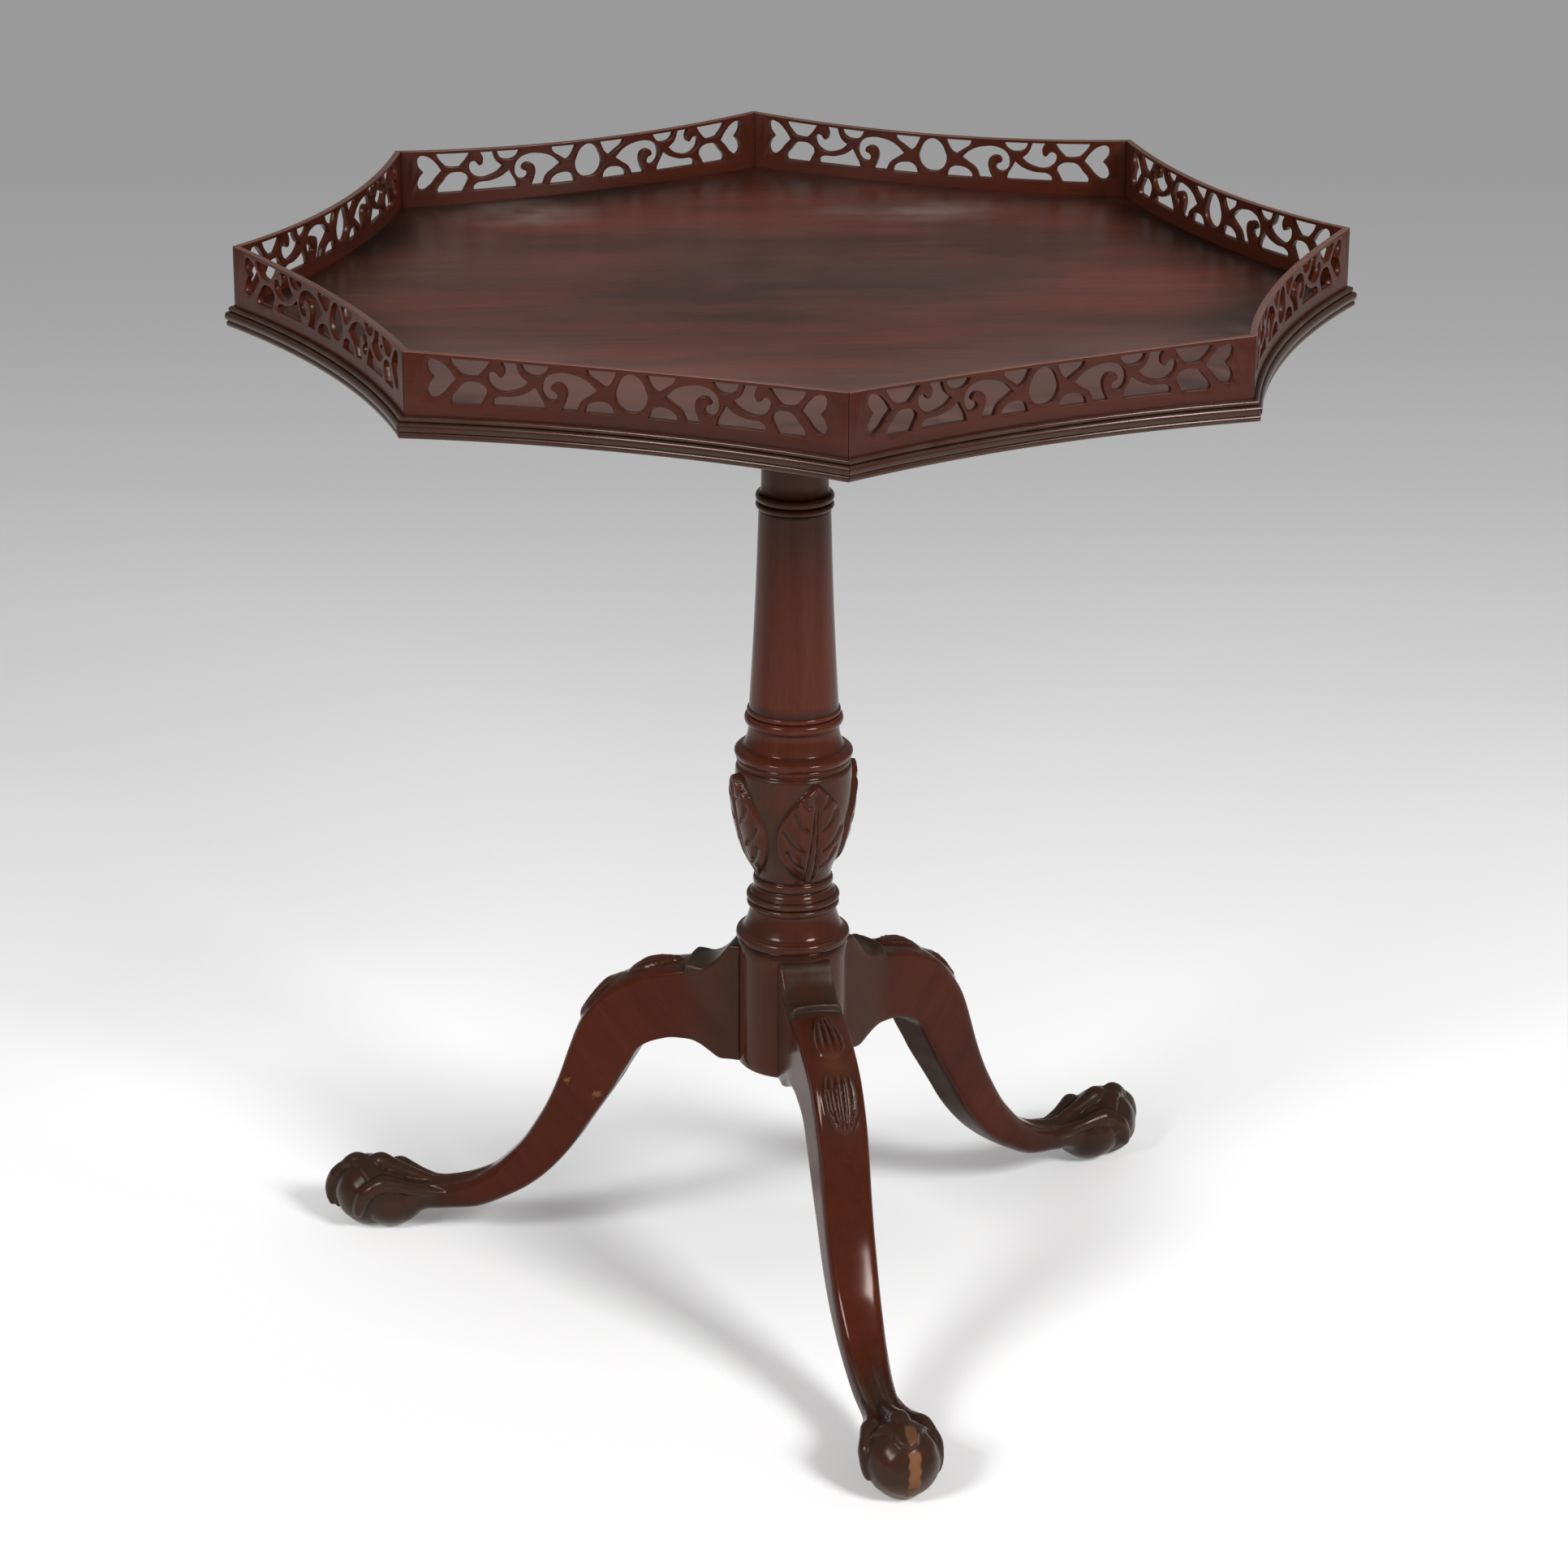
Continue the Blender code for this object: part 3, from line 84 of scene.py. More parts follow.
# Openings of one gallery panel in millimetres, right half, with the places of their sharp points
FRET_HALF = 135.4
FRET_HEIGHT = 35.5
FRET_FOOT = -3.7
FRET_PEAR = [(0, 10.4), (6.2, 12.3), (9.8, 18.6), (8.6, 25), (4.9, 30.9), (0, 33)]
FRET_OPENINGS = [
    ([(9, 33.3), (26.8, 33.3), (26, 30.6), (20.6, 26.6), (16.2, 23.6), (13.6, 25), (10.6, 29.4)], (0, 1, 4)),
    ([(10.2, 7.9), (28.4, 7.9), (26.9, 11.8), (20, 15.1), (12.8, 13.6)], (0, 1)),
    ([(20.4, 21.3), (27, 27), (36.2, 29.9), (45, 29.8), (51.3, 26.5), (53.6, 21), (52.2, 15.6), (47.8, 13.4),
      (44.4, 15.6), (45.5, 18.4), (48.2, 19.8), (47.3, 22.9), (43.8, 24.1), (40.3, 22.6), (38.8, 18.4),
      (39.8, 13.4), (42, 8.4), (33, 8.4), (30.4, 14), (24.8, 18.2)], (0, 16, 17)),
    ([(49.4, 33.3), (65.9, 33.3), (64.2, 29.6), (58.5, 27.3), (52.3, 29)], (0, 1)),
    ([(51.8, 8.2), (82.6, 8.2), (82.1, 11.6), (70, 14.1), (62.4, 16.8), (57.5, 20.4), (55, 15.8),
      (52.6, 11.6)], (0, 1, 5)),
    ([(61.9, 23), (66.4, 26.8), (69, 33.3), (77.5, 33.3), (75.7, 28.4), (77.9, 24.5), (81.6, 27.4),
      (84.7, 26.8), (85.4, 22.8), (82.3, 18.5), (77, 16.5), (71, 17.4), (65.4, 19.8)], (0, 2, 3)),
    ([(84.5, 33.3), (108, 33.3), (106.8, 30.6), (101.4, 24.9), (97, 24.2), (92, 24.3), (87.6, 28.8)],
     (0, 1, 3, 5)),
    ([(86.2, 16.6), (89.8, 20.3), (94.6, 21), (99.4, 20.1), (103.7, 15.5), (107.6, 10.2), (107, 7.9),
      (90.2, 7.9), (88, 11.8)], (6, 7)),
    ([(104.4, 21.8), (108.4, 27.2), (115.2, 32), (119.9, 31.9), (121, 27.2), (117.2, 21.9), (120.6, 17.4),
      (120.9, 12.8), (118.3, 10.6), (112.4, 13.3), (108.6, 17.6)], (0, 5)),
]
# Places of the cuts that let a panel bend and start of its mitred ends, in millimetres, and depth of the
# rubbed rim
FRET_CUTS = np.arange(-132, 133, 5.5)
FRET_END = 124
FRET_RUB = 0.45 * MM

# Reeds of the moulding from the top: height and reach in millimetres; their swell, its root and the flat back
REEDS = ((3.4, 3.2), (5.4, 5.2), (4.1, 4.4))
REED_SWELL = 1.5
REED_ROOT = 1.56
REED_BACK = 0.3

# Curves of the turned pillar: height and radius in millimetres
BELL = [(258.2, 34.2), (259.2, 33), (260.6, 32.1), (262.4, 31.3), (264.6, 30.4), (267, 29.6), (269.6, 28.9),
        (272, 28.4), (274.2, 28.1)]
URN = [(297, 24.6), (302, 26.4), (307.5, 28.8), (313, 31), (320, 33.3), (327, 35), (334, 36.3), (341, 37.2),
       (350, 37.9), (360, 38.2), (368, 38.1), (371.6, 37.8), (373, 36.9)]
TORUS = [(379, 37.6), (380.4, 38.4), (382, 38.7), (383, 38.5), (384, 37.7), (384.8, 36.5), (385.4, 34.9),
         (386, 33.4), (387.2, 32.4)]
# Leaf on the urn: height in millimetres, half angle in degrees, and radius in millimetres
LEAF = [(296, 4, 24.8), (300, 9, 26.8), (304, 17, 28.8), (308, 26, 30.7), (313, 33, 32.8), (318, 36.5, 34.5),
        (324, 38.5, 36.3), (330, 39, 37.7), (336, 38, 39), (342, 35, 40), (348, 30.5, 40.9),
        (355, 23.5, 41.8), (361, 15.5, 42.4), (366, 8, 42.7), (369, 3.5, 42.6), (371, 0, 42)]
# Veins of a leaf, from inside to outside: place across and height in millimetres
VEINS = [((2.8, 354.5), (8.4, 361.4)), ((4.8, 338.5), (14.4, 351)), ((6.6, 323), (20.6, 337.4)),
         ((5.8, 310), (16.6, 322.5))]
# Heights of the carved part of the urn, and steps round the pillar
URN_FOOT = 297.2
URN_TOP = 373.2
PILLAR_STEPS = 288
# Shaft of the pillar in millimetres: radius at its foot, taper, hollow, height of its foot, and length
SHAFT_RADIUS = 29.2
SHAFT_TAPER = 5.8
SHAFT_HOLLOW = 0.6
SHAFT_FOOT = 412.8
SHAFT_LENGTH = 131.6
SHAFT_STEPS = 20

# Leg rows in millimetres: top edge reach and height, lower edge reach and height, half width
LEG_ROWS = [(31.5, 246, 31.5, 163, 18), (37.5, 246, 38, 163, 18), (43, 240, 42.5, 162.8, 18),
            (49, 232, 47, 163.6, 18), (57, 226, 53.5, 168, 18), (66, 223.5, 60.5, 172.2, 18),
            (77, 221, 68, 174, 18), (94, 216, 79, 173.6, 17.8), (106, 210, 88, 171, 17.6),
            (117, 204, 97, 167, 17.4), (128, 195, 104.5, 160.5, 17.2), (140, 180, 112, 147.5, 17),
            (147, 168, 117.5, 138, 16.8), (153, 153, 123, 128, 16.6), (160, 133, 131, 115.5, 16.4),
            (168, 114, 141, 100, 16.2), (176, 99, 153, 81, 16), (188, 80, 167, 63.5, 15.5),
            (201, 65, 181, 50, 14.9), (213, 54, 197, 38.5, 14.2), (231, 43.5, 221, 25.5, 13),
            (249, 38.5, 245, 19.8, 12.3), (262, 37.4, 258, 17.4, 12.6), (270, 38, 265, 14.4, 13.6),
            (277, 39, 270, 9.4, 15), (283, 40.4, 275, 5.2, 16.2), (291, 42.2, 284, 2.4, 17),
            (300, 43.6, 294, 1.4, 17), (307, 43.8, 303, 1.6, 16)]
# How square the leg's section is: reach in millimetres and power of the rounding
SQUARENESS = [(31, 22), (120, 16), (170, 8), (210, 4), (250, 2.8)]
# Points along the upper side of that section, and along each other side
UPPER_POINTS = 40
SIDE_POINTS = 12
# Knee carving: reach along the leg in millimetres and height of the crown over the edges
CROWN = [(31, 0), (43, 0.8), (49, 2), (60, 3.2), (74, 3), (90, 4.6), (104, 5.6), (118, 5.4), (131, 5),
         (143, 4), (155, 2.2), (180, 1.8), (230, 1.6), (307, 1)]
LIP = [(31, 0), (40, 0), (49, 0.4), (57, 0.8), (64, 2), (68.5, 4.4), (73.5, 5.6), (77, 5), (78.8, 0),
       (310, 0)]
# Ribbed bud and husk on the knee: reach and half width in millimetres
BUD = [(76, 3.5), (82, 5), (90, 8.4), (98, 10.6), (104, 10.8), (109, 8.4), (113.5, 0)]
HUSK = [(114, 0), (118, 5), (124, 9.4), (131, 11.6), (138, 10.8), (143.5, 6.6), (147, 0)]
# Their rims, the reaches where they rise, end and grow ribs, and the heights of the ground and the ribs
KNEE_LEAVES = ((BUD, 0.2, (75, 79), (113.5, 108), (112, 98), 1.4, 2),
               (HUSK, 0.15, (114, 122), (147, 142.5), (120, 128), 1.2, 2.2))
KNEE_RIBS = 4.5

# Toes: reach, place across, height and radius in millimetres
MIDDLE_TOE = [(238, 0, 34.5, 3.4), (258, 0, 36, 4), (275, 0, 39.6, 4.8), (288, 0, 43, 5.8), (296.5, 0, 45, 7),
              (305.5, 0, 42.8, 5.2), (314.5, 0, 42.8, 6.8), (322.5, 0, 37.4, 5.4), (328.5, 0, 30.4, 6.6),
              (332.8, 0, 22.5, 5.4), (333.4, 0, 15, 4.4), (332, 0, 8.4, 3)]
BROKEN_TOE = MIDDLE_TOE[:6] + [(312, 0.6, 41.4, 4.6)]
CLAW_ROOT = [(320, 0, 37, 5), (326, 0, 29, 5.4), (328.5, 0, 20, 5), (328.4, 0, 13, 4.4), (326.5, 0, 7.6, 3.4)]
SIDE_TOE = [(238, 9, 32.5, 3), (256, 10.4, 32.4, 3.6), (271, 12.4, 33.8, 4.6), (281, 14.4, 35.4, 5.8),
            (288.5, 16.6, 36, 6.8), (294.8, 19.4, 33.2, 5.8), (299.6, 21.2, 28.8, 6.2),
            (302.8, 22, 23.4, 5.2), (304.6, 22, 18.4, 4.4), (305.6, 21.6, 14.4, 3.4), (306, 21, 11.4, 2)]
# Palm behind the ball: its middle and its reach each way, in millimetres
PALM_PLACE = (290, 0, 21.6)
PALM_REACH = (24, 23, 21.4)
# Edge of the skin over the ball: direction round the ball and angle down from its top, in degrees
SKIN_EDGE = [(0, 45), (20, 40), (45, 27), (82, 30), (103, 44), (115, 62), (130, 86), (150, 112), (180, 122)]
SKIN_THICKNESS = 2.3
# Half width of the flat under a foot's ball, and reach where the foot begins, in millimetres
FOOT_FLAT = 8
FOOT_START = 240
# Most triangles of one leg
LEG_TRIANGLES = 160000
# Slope of the grain in the legs, in degrees
LEG_GRAIN = -50
# Chips on the left leg: reach, height and size in millimetres
CHIPS = ((132.5, 125.6, 2.6), (153.8, 132.9, 1.6))

# Wooden pieces hidden under the top: node, body, turn of the grain in degrees, and easing of the edges
BEARERS = (("tilt_block", "pedestal", (0, 0, 0), 1.2 * MM),
           ("batten_left", "top", (0, 0, 90), 1.2 * MM),
           ("batten_right", "top", (0, 0, 90), 1.2 * MM),
           ("tenon_wedge_1", "pedestal", (0, 90, 0), 0.2 * MM),
           ("tenon_wedge_2", "pedestal", (0, 90, 0), 0.2 * MM))

# Colour of the polish's own gloss on the moulding, pillar and legs, and of the rust on the iron
WARM = (1.0, 0.84, 0.77)
RUST = (0.05, 0.028, 0.018)
# Gloss left on the dry undersides of the legs
DRY_GLOSS = 0.02

# Studio: lamps with their place and power, what they aim at, their width, and the light from all round
LAMPS = (("left_box", (-2.3, -2.1, 2.3), 68), ("right_box", (2.0, -2.35, 2.3), 102))
LAMP_AIM = (0, 0, 0.4)
LAMP_WIDTH = 0.92
SKY_LIGHT = 0.22
# Floor: its width, the directions away from the camera and across, and the span that the tables cover
FLOOR_WIDTH = 60
FLOOR_BACK = (0.0834, 0.9965, 0)
FLOOR_ACROSS = (0.9965, -0.0834, 0)
FLOOR_SPAN = (-3, 7)
# Grey of the floor, its own glow, and the painted light added beside the table over the top's shadows:
# share of the span and level
FLOOR_FADE = [(0, 1), (0.31, 1), (0.354, 0.863), (0.389, 0.737), (0.431, 0.597), (0.481, 0.468),
              (0.544, 0.376), (0.622, 0.323), (1, 0.315)]
FLOOR_GLOW = [(0, 0.02), (0.264, 0.095), (0.297, 0.185), (0.31, 0.216), (0.337, 0.275), (0.389, 0.289),
              (0.431, 0.277), (0.481, 0.254), (0.544, 0.224), (0.622, 0.212), (0.722, 0.225)]
FLOOR_PAINTED_FILL = [(0, 0), (0.31, 0.01), (0.322, 0.04), (0.337, 0.09), (0.352, 0.11), (0.37, 0.112),
                (0.388, 0.105), (0.408, 0.078), (0.43, 0.035), (0.454, 0.008), (0.48, 0)]
# Camera that matches the photograph
CAMERA_PLACE = (-0.2569, -2.9946, 1.4917)
CAMERA_FORWARD = (0.07805, 0.93237, -0.35299)
CAMERA_ROLL = 0.00425
CAMERA_LENS = 113.06
CAMERA_SENSOR = 36


def deselect():
    """Leave nothing selected."""
    if bpy.context.object and bpy.context.object.mode != "OBJECT":
        bpy.ops.object.mode_set(mode="OBJECT")
    bpy.ops.object.select_all(action="DESELECT")


def pick(*pieces):
    """Select these pieces only, the first one active."""
    deselect()
    for piece in pieces:
        piece.select_set(True)
    bpy.context.view_layer.objects.active = pieces[0]


def edit(piece):
    """Start to edit a piece, with all of it selected."""
    pick(piece)
    bpy.ops.object.mode_set(mode="EDIT")
    bpy.ops.mesh.select_all(action="SELECT")


def place_new(name, data):
    """A new object in the scene."""
    piece = bpy.data.objects.new(name, data)
    bpy.context.scene.collection.objects.link(piece)
    return piece


def from_curve(name, curve):
    """A curve turned into a mesh piece."""
    pick(place_new(name, curve))
    bpy.ops.object.convert(target="MESH")
    return bpy.context.object


def points_of(piece, kind="co"):
    """The points of a mesh as an array, or with kind "normal" the ways they face."""
    flat = np.empty(len(piece.data.vertices) * 3)
    piece.data.vertices.foreach_get(kind, flat)
    return flat.reshape(-1, 3)


def move_points(piece, points):
    """Put the points of a mesh in new places."""
    piece.data.vertices.foreach_set("co", np.asarray(points, float).ravel())
    piece.data.update()


def outward(piece):
    """Merge doubled points and turn all faces outwards."""
    edit(piece)
    bpy.ops.mesh.remove_doubles(threshold=1e-6)
    bpy.ops.mesh.normals_make_consistent(inside=False)
    bpy.ops.object.mode_set(mode="OBJECT")


def ring_of_points(name, points, fill):
    """A circle whose points are moved to these places, ready to edit."""
    deselect()
    bpy.ops.mesh.primitive_circle_add(vertices=len(points), radius=1, fill_type=fill)
    piece = bpy.context.object
    piece.name = name
    move_points(piece, points)
    edit(piece)
    return piece


def rounded(point):
    """A place by which a point can be found again."""
    return tuple(round(value, 6) for value in Vector(point))


def skin(name, rings):
    """Start from a disc with the first ring's points and extrude its face once for each further ring."""
    piece = ring_of_points(name, rings[0], "NGON")
    for near, far in zip(rings, rings[1:]):
        bpy.ops.mesh.extrude_region_move()
        shape = bmesh.from_edit_mesh(piece.data)
        places = {rounded(point): index for index, point in enumerate(near)}
        for vert in shape.verts:
            if vert.select:
                vert.co = far[places[rounded(vert.co)]]
        bmesh.update_edit_mesh(piece.data)
    outward(piece)
    return piece


def turned(name, profile, steps):
    """Spin a profile of (radius, height) points about the upright axis."""
    piece = ring_of_points(name, [(radius, 0, height) for radius, height in profile], "NOTHING")
    shape = bmesh.from_edit_mesh(piece.data)
    shape.verts.ensure_lookup_table()
    closing = shape.edges.get((shape.verts[0], shape.verts[len(profile) - 1]))
    shape.edges.remove(closing)
    bmesh.update_edit_mesh(piece.data)
    bpy.ops.mesh.select_all(action="SELECT")
    bpy.ops.mesh.spin(steps=steps, angle=2 * math.pi, center=(0, 0, 0), axis=(0, 0, 1))
    outward(piece)
    return piece


def apply_modifier(piece, kind, **settings):
    """Add one modifier and apply it."""
    pick(piece)
    modifier = piece.modifiers.new(kind.lower(), kind)
    for key, value in settings.items():
        setattr(modifier, key, value)
    bpy.ops.object.modifier_apply(modifier=modifier.name)


def copy_piece(piece, name, turn=0):
    """A copy with its own mesh, turned about the pillar's axis."""
    twin = place_new(name, piece.data.copy())
    twin.data.transform(Matrix.Rotation(turn, 4, "Z"))
    return twin


def store(piece, name, values):
    """Keep one number, or three, for each point of a mesh as a named attribute."""
    values = np.asarray(values, np.float32)
    kind = "FLOAT_VECTOR" if values.ndim == 2 else "FLOAT"
    layer = piece.data.attributes.get(name) or piece.data.attributes.new(name, kind, "POINT")
    layer.data.foreach_set("vector" if values.ndim == 2 else "value", values.ravel())


def store_even(piece, name, value):
    """Keep the same number for every point of a mesh."""
    store(piece, name, np.full(len(piece.data.vertices), value))


def mark_edges(piece, scale, blur):
    """Store how sharply the surface turns: over one half on edges, under one half in hollows."""
    mesh = piece.data
    points = points_of(piece)
    normals = points_of(piece, "normal")
    pairs = np.empty(len(mesh.edges) * 2, int)
    mesh.edges.foreach_get("vertices", pairs)
    a, b = pairs.reshape(-1, 2).T

    def gathered(first, second):
        """For each point, the sum of what its edges bring to their first and second ends."""
        return np.bincount(a, first, len(points)) + np.bincount(b, second, len(points))

    along = points[b] - points[a]
    bend = ((normals[b] - normals[a]) * along).sum(1) / np.maximum((along ** 2).sum(1), 1e-12)
    count = np.maximum(gathered(None, None), 1)
    value = gathered(bend, bend) / count
    for repeat in range(blur):
        value = 0.5 * value + 0.5 * gathered(value[b], value[a]) / count
    store(piece, "edge", np.clip(0.5 + value * scale, 0, 1))


def finish_piece(piece, body, nodes, materials, angle):
    """Shade, colour and mount a piece in place of the model's nodes."""
    pick(piece)
    bpy.ops.object.shade_smooth_by_angle(angle=math.radians(angle))
    for material in materials:
        piece.data.materials.append(material)
    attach(piece, body)
    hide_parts(*nodes)


def smooth(low, high, value):
    """A soft step from 0 at low to 1 at high."""
    t = np.clip((np.asarray(value, float) - low) / (high - low), 0, 1)
    return t * t * (3 - 2 * t)


def along_rows(rows, steps):
    """A smooth curve through rows of numbers that never overshoots."""
    rows = np.asarray(rows, float)
    rise = np.diff(rows, axis=0)
    slope = np.zeros_like(rows)
    same = rise[:-1] * rise[1:] > 0
    slope[1:-1] = np.where(same, (rise[:-1] + rise[1:]) / 2, 0)
    result = []
    for index in range(len(rows) - 1):
        for step in range(steps):
            t = step / steps
            result.append(rows[index] + (3 * t ** 2 - 2 * t ** 3) * rise[index]
                          + (t ** 3 - 2 * t ** 2 + t) * slope[index] + (t ** 3 - t ** 2) * slope[index + 1])
    result.append(rows[-1])
    return np.array(result)


def table_at(table, value):
    """Read a table of (place, value) rows, rounded between them."""
    rows = along_rows(table, 6)
    return np.interp(value, rows[:, 0], rows[:, 1])


def length(name, text, value):
    """A size setting."""
    return FloatProperty(name=name, description=text, default=value, unit="LENGTH")


def colour(name, text, value):
    """A colour setting."""
    return FloatVectorProperty(name=name, description=text, default=value, subtype="COLOR", min=0, max=1)


class TeaTableSizes(bpy.types.PropertyGroup):
    """Sizes of the finished pieces."""
    corner: length("Corner radius", "Gallery corner from the middle", 0.3513)
    hollow: length("Side hollow", "How far a side curves in", 0.0137)
    dip: length("Rim dip", "How far the rim sinks between corners", 0.003)
    fret_thickness: length("Fret thickness", "Thickness of the gallery", 0.004)
    fret_ease: length("Fret edge", "Rounding of the sawn edges", 0.0004)
    side_steps: IntProperty(name="Side steps", description="Steps along one side", default=24)
    leaf_turn: FloatProperty(name="Leaf turn", description="Direction of the first leaf",
                             default=math.radians(-73), subtype="ANGLE")
    ball: length("Ball radius", "Radius of a foot's ball", 0.0236)
    foot_reach: length("Foot reach", "Ball's middle from the pillar's axis", 0.3055)
    carve_voxel: length("Carving step", "Finest detail of the carved legs", 0.00065)


class TeaTableColours(bpy.types.PropertyGroup):
    """Colours of the finishes."""
    wood_light: colour("Light wood", "Light streaks of the mahogany", (0.120, 0.028, 0.0115))
    wood_mid: colour("Wood", "Main colour of the mahogany", (0.072, 0.0145, 0.0066))
    wood_dark: colour("Dark wood", "Dark streaks of the mahogany", (0.026, 0.0065, 0.0040))
    top_light: colour("Light top", "Light streaks of the top", (0.175, 0.042, 0.020))
    top_mid: colour("Top", "Main colour of the top", (0.132, 0.0288, 0.0139))
    top_dark: colour("Dark top", "Dark clouds in the top", (0.024, 0.0080, 0.0052))
    # Also the colour of painted shade on the legs' undersides, the urn's ground and the knee's block
    old_polish_and_painted_shade: colour("Aged polish", "Brown old polish on the carving", (0.032, 0.0170, 0.0108))
    # Colour of the pale reflections painted on the top
    reflection: colour("Bloom", "Pale bloom on the polished top", (0.260, 0.165, 0.145))
    worn: colour("Worn edge", "Rubbed edges", (0.200, 0.110, 0.090))
    # Also the colour of the painted dark reflection beside the gallery on the top
    grime_and_dark_reflection: colour("Old polish", "Polish gathered in hollows", (0.010, 0.005, 0.004))
    bare: colour("Bare wood", "Freshly chipped wood", (0.170, 0.074, 0.033))
    brass: colour("Brass", "Aged brass", (0.420, 0.290, 0.110))
    iron: colour("Iron", "Blackened iron", (0.050, 0.048, 0.046))
    floor: colour("Floor", "Studio floor", (0.800, 0.800, 0.800))


def sizes():
    """The sizes in use."""
    return bpy.context.scene.tea_sizes


def colours():
    """The colours in use."""
    return bpy.context.scene.tea_colours


def four(value):
    """A colour with full opacity."""
    return (*value, 1.0)


def grey(level):
    """A grey with full opacity."""
    return (level, level, level, 1)


def feed(tree, node, values):
    """Link sockets to a node's inputs, and set plain values there."""
    for key, value in values.items():
        if isinstance(value, bpy.types.NodeSocket):
            tree.links.new(value, node.inputs[key])
        else:
            node.inputs[key].default_value = value


def add(tree, kind, values, **settings):
    """Add a node, set its options and feed its inputs; what comes back is its outputs."""
    node = tree.nodes.new("ShaderNode" + kind)
    for key, value in settings.items():
        setattr(node, key, value)
    feed(tree, node, values)
    return node.outputs


def calc(tree, operation, first, second=0.0):
    """One step of arithmetic."""
    return add(tree, "Math", {0: first, 1: second}, operation=operation)[0]


def times(tree, first, second):
    """The product of two values."""
    return calc(tree, "MULTIPLY", first, second)


def mix(tree, factor, first, second, blend="MIX"):
    """Mix two colours."""
    return add(tree, "Mix", {0: factor, 6: first, 7: second}, data_type="RGBA", blend_type=blend)[2]


def ramp(tree, value, low, high, start=0.0, stop=1.0):
    """Stretch a value so that low becomes start and high becomes stop."""
    ends = {"From Min": low, "From Max": high, "To Min": start, "To Max": stop}
    return add(tree, "MapRange", {"Value": value, **ends})["Result"]


def attribute(tree, name, kind="Fac"):
    """What a piece stores for its points; 0 where it stores nothing."""
    return add(tree, "Attribute", {}, attribute_name=name)[kind]


def object_place(tree):
    """The place of a point in its object."""
    return add(tree, "TexCoord", {})["Object"]


def noise(tree, vector, scale, detail, roughness=0.5):
    """Soft noise."""
    values = {"Vector": vector, "Scale": scale, "Detail": detail, "Roughness": roughness}
    return add(tree, "TexNoise", values)["Fac"]


def stretched_noise(tree, vector, stretch, detail, roughness=0.55):
    """Noise on coordinates stretched along the grain."""
    return noise(tree, add(tree, "Mapping", {"Vector": vector, "Scale": stretch})[0], 1.0, detail, roughness)


def measured(tree, place, way):
    """How far a place lies along a direction."""
    return add(tree, "VectorMath", {0: place, 1: way}, operation="DOT_PRODUCT")["Value"]


def near_spot(tree, place, middle, reach, outer, inner):
    """A soft oval spot: 1 inside it and 0 outside."""
    near = add(tree, "VectorMath", {0: place, 1: middle}, operation="SUBTRACT")[0]
    near = add(tree, "VectorMath", {0: near, 1: reach}, operation="MULTIPLY")[0]
    return ramp(tree, add(tree, "VectorMath", {0: near}, operation="LENGTH")["Value"], outer, inner)


def bumped(tree, height, strength, distance):
    """A surface's directions with a fine relief."""
    return add(tree, "Bump", {"Height": height, "Strength": strength, "Distance": distance})[0]


def grain_nodes(group, given):
    """Mahogany grain: clouds, streaks and pores along the first coordinate."""
    vector = given["Vector"]
    cloud = ramp(group, stretched_noise(group, vector, (5, 14, 14), 3), 0.36, 0.66)
    streak = ramp(group, stretched_noise(group, vector, (9, 130, 130), 5, 0.65), 0.38, 0.68)
    pores = ramp(group, stretched_noise(group, vector, (70, 1500, 1500), 2), 0.60, 0.72)
    base = mix(group, times(group, cloud, given["Cloud"]), given["Mid"], given["Dark"])
    base = mix(group, times(group, streak, given["Streak"]), base, given["Light"])
    return {"Color": mix(group, times(group, pores, 0.45), base, given["Dark"]), "Pores": pores}


def wear_nodes(group, given):
    """Rubbed edges and polish gathered in hollows, broken up by soft noise."""
    patch = ramp(group, noise(group, given["Vector"], 60.0, 3.0), 0.35, 0.7)
    rub = times(group, ramp(group, given["Edge"], 0.6, 0.95), patch)
    gather = times(group, ramp(group, given["Edge"], 0.44, 0.15), given["Gathering"])
    shade = mix(group, times(group, rub, given["Rubbing"]), given["Color"], given["Worn"])
    return {"Color": mix(group, gather, shade, given["Grime"])}


def polish_nodes(group, given):
    """Uneven polish: roughness with smears, and a faint unevenness of the surface."""
    smear = ramp(group, noise(group, given["Vector"], given["Smear"], 4.0, 0.6), 0.3, 0.72)
    ripple = noise(group, given["Vector"], 45.0, 2.0)
    return {"Roughness": ramp(group, smear, 0, 1, given["Smooth"], given["Dull"]),
            "Height": calc(group, "ADD", ripple, times(group, given["Pores"], -0.25))}


# Shader groups: name, maker of the nodes, and names of the inputs and outputs for each kind of socket
GRAIN = ("mahogany_grain", grain_nodes,
         {"Vector": ["Vector"], "Color": ["Light", "Mid", "Dark"], "Float": ["Cloud", "Streak"]},
         {"Color": ["Color"], "Float": ["Pores"]})
WEAR = ("edge_wear", wear_nodes,
        {"Vector": ["Vector"], "Color": ["Color", "Worn", "Grime"],
         "Float": ["Edge", "Rubbing", "Gathering"]},
        {"Color": ["Color"]})
POLISH = ("french_polish", polish_nodes,
          {"Vector": ["Vector"], "Float": ["Pores", "Smooth", "Dull", "Smear"]},
          {"Float": ["Roughness", "Height"]})


def add_sockets(group, side, kinds):
    """Give a shader group its named sockets on one side."""
    for kind, titles in kinds.items():
        for title in titles:
            group.interface.new_socket(title, in_out=side, socket_type="NodeSocket" + kind)


def grouped(tree, recipe, values):
    """Add a shader group to a tree, making the group when it is first wanted."""
    name, make_nodes, inputs, outputs = recipe
    group = bpy.data.node_groups.get(name)
    if not group:
        group = bpy.data.node_groups.new(name, "ShaderNodeTree")
        add_sockets(group, "INPUT", inputs)
        add_sockets(group, "OUTPUT", outputs)
        given = group.nodes.new("NodeGroupInput").outputs
        feed(group, group.nodes.new("NodeGroupOutput"), make_nodes(group, given))
    return add(tree, "Group", values, node_tree=group)


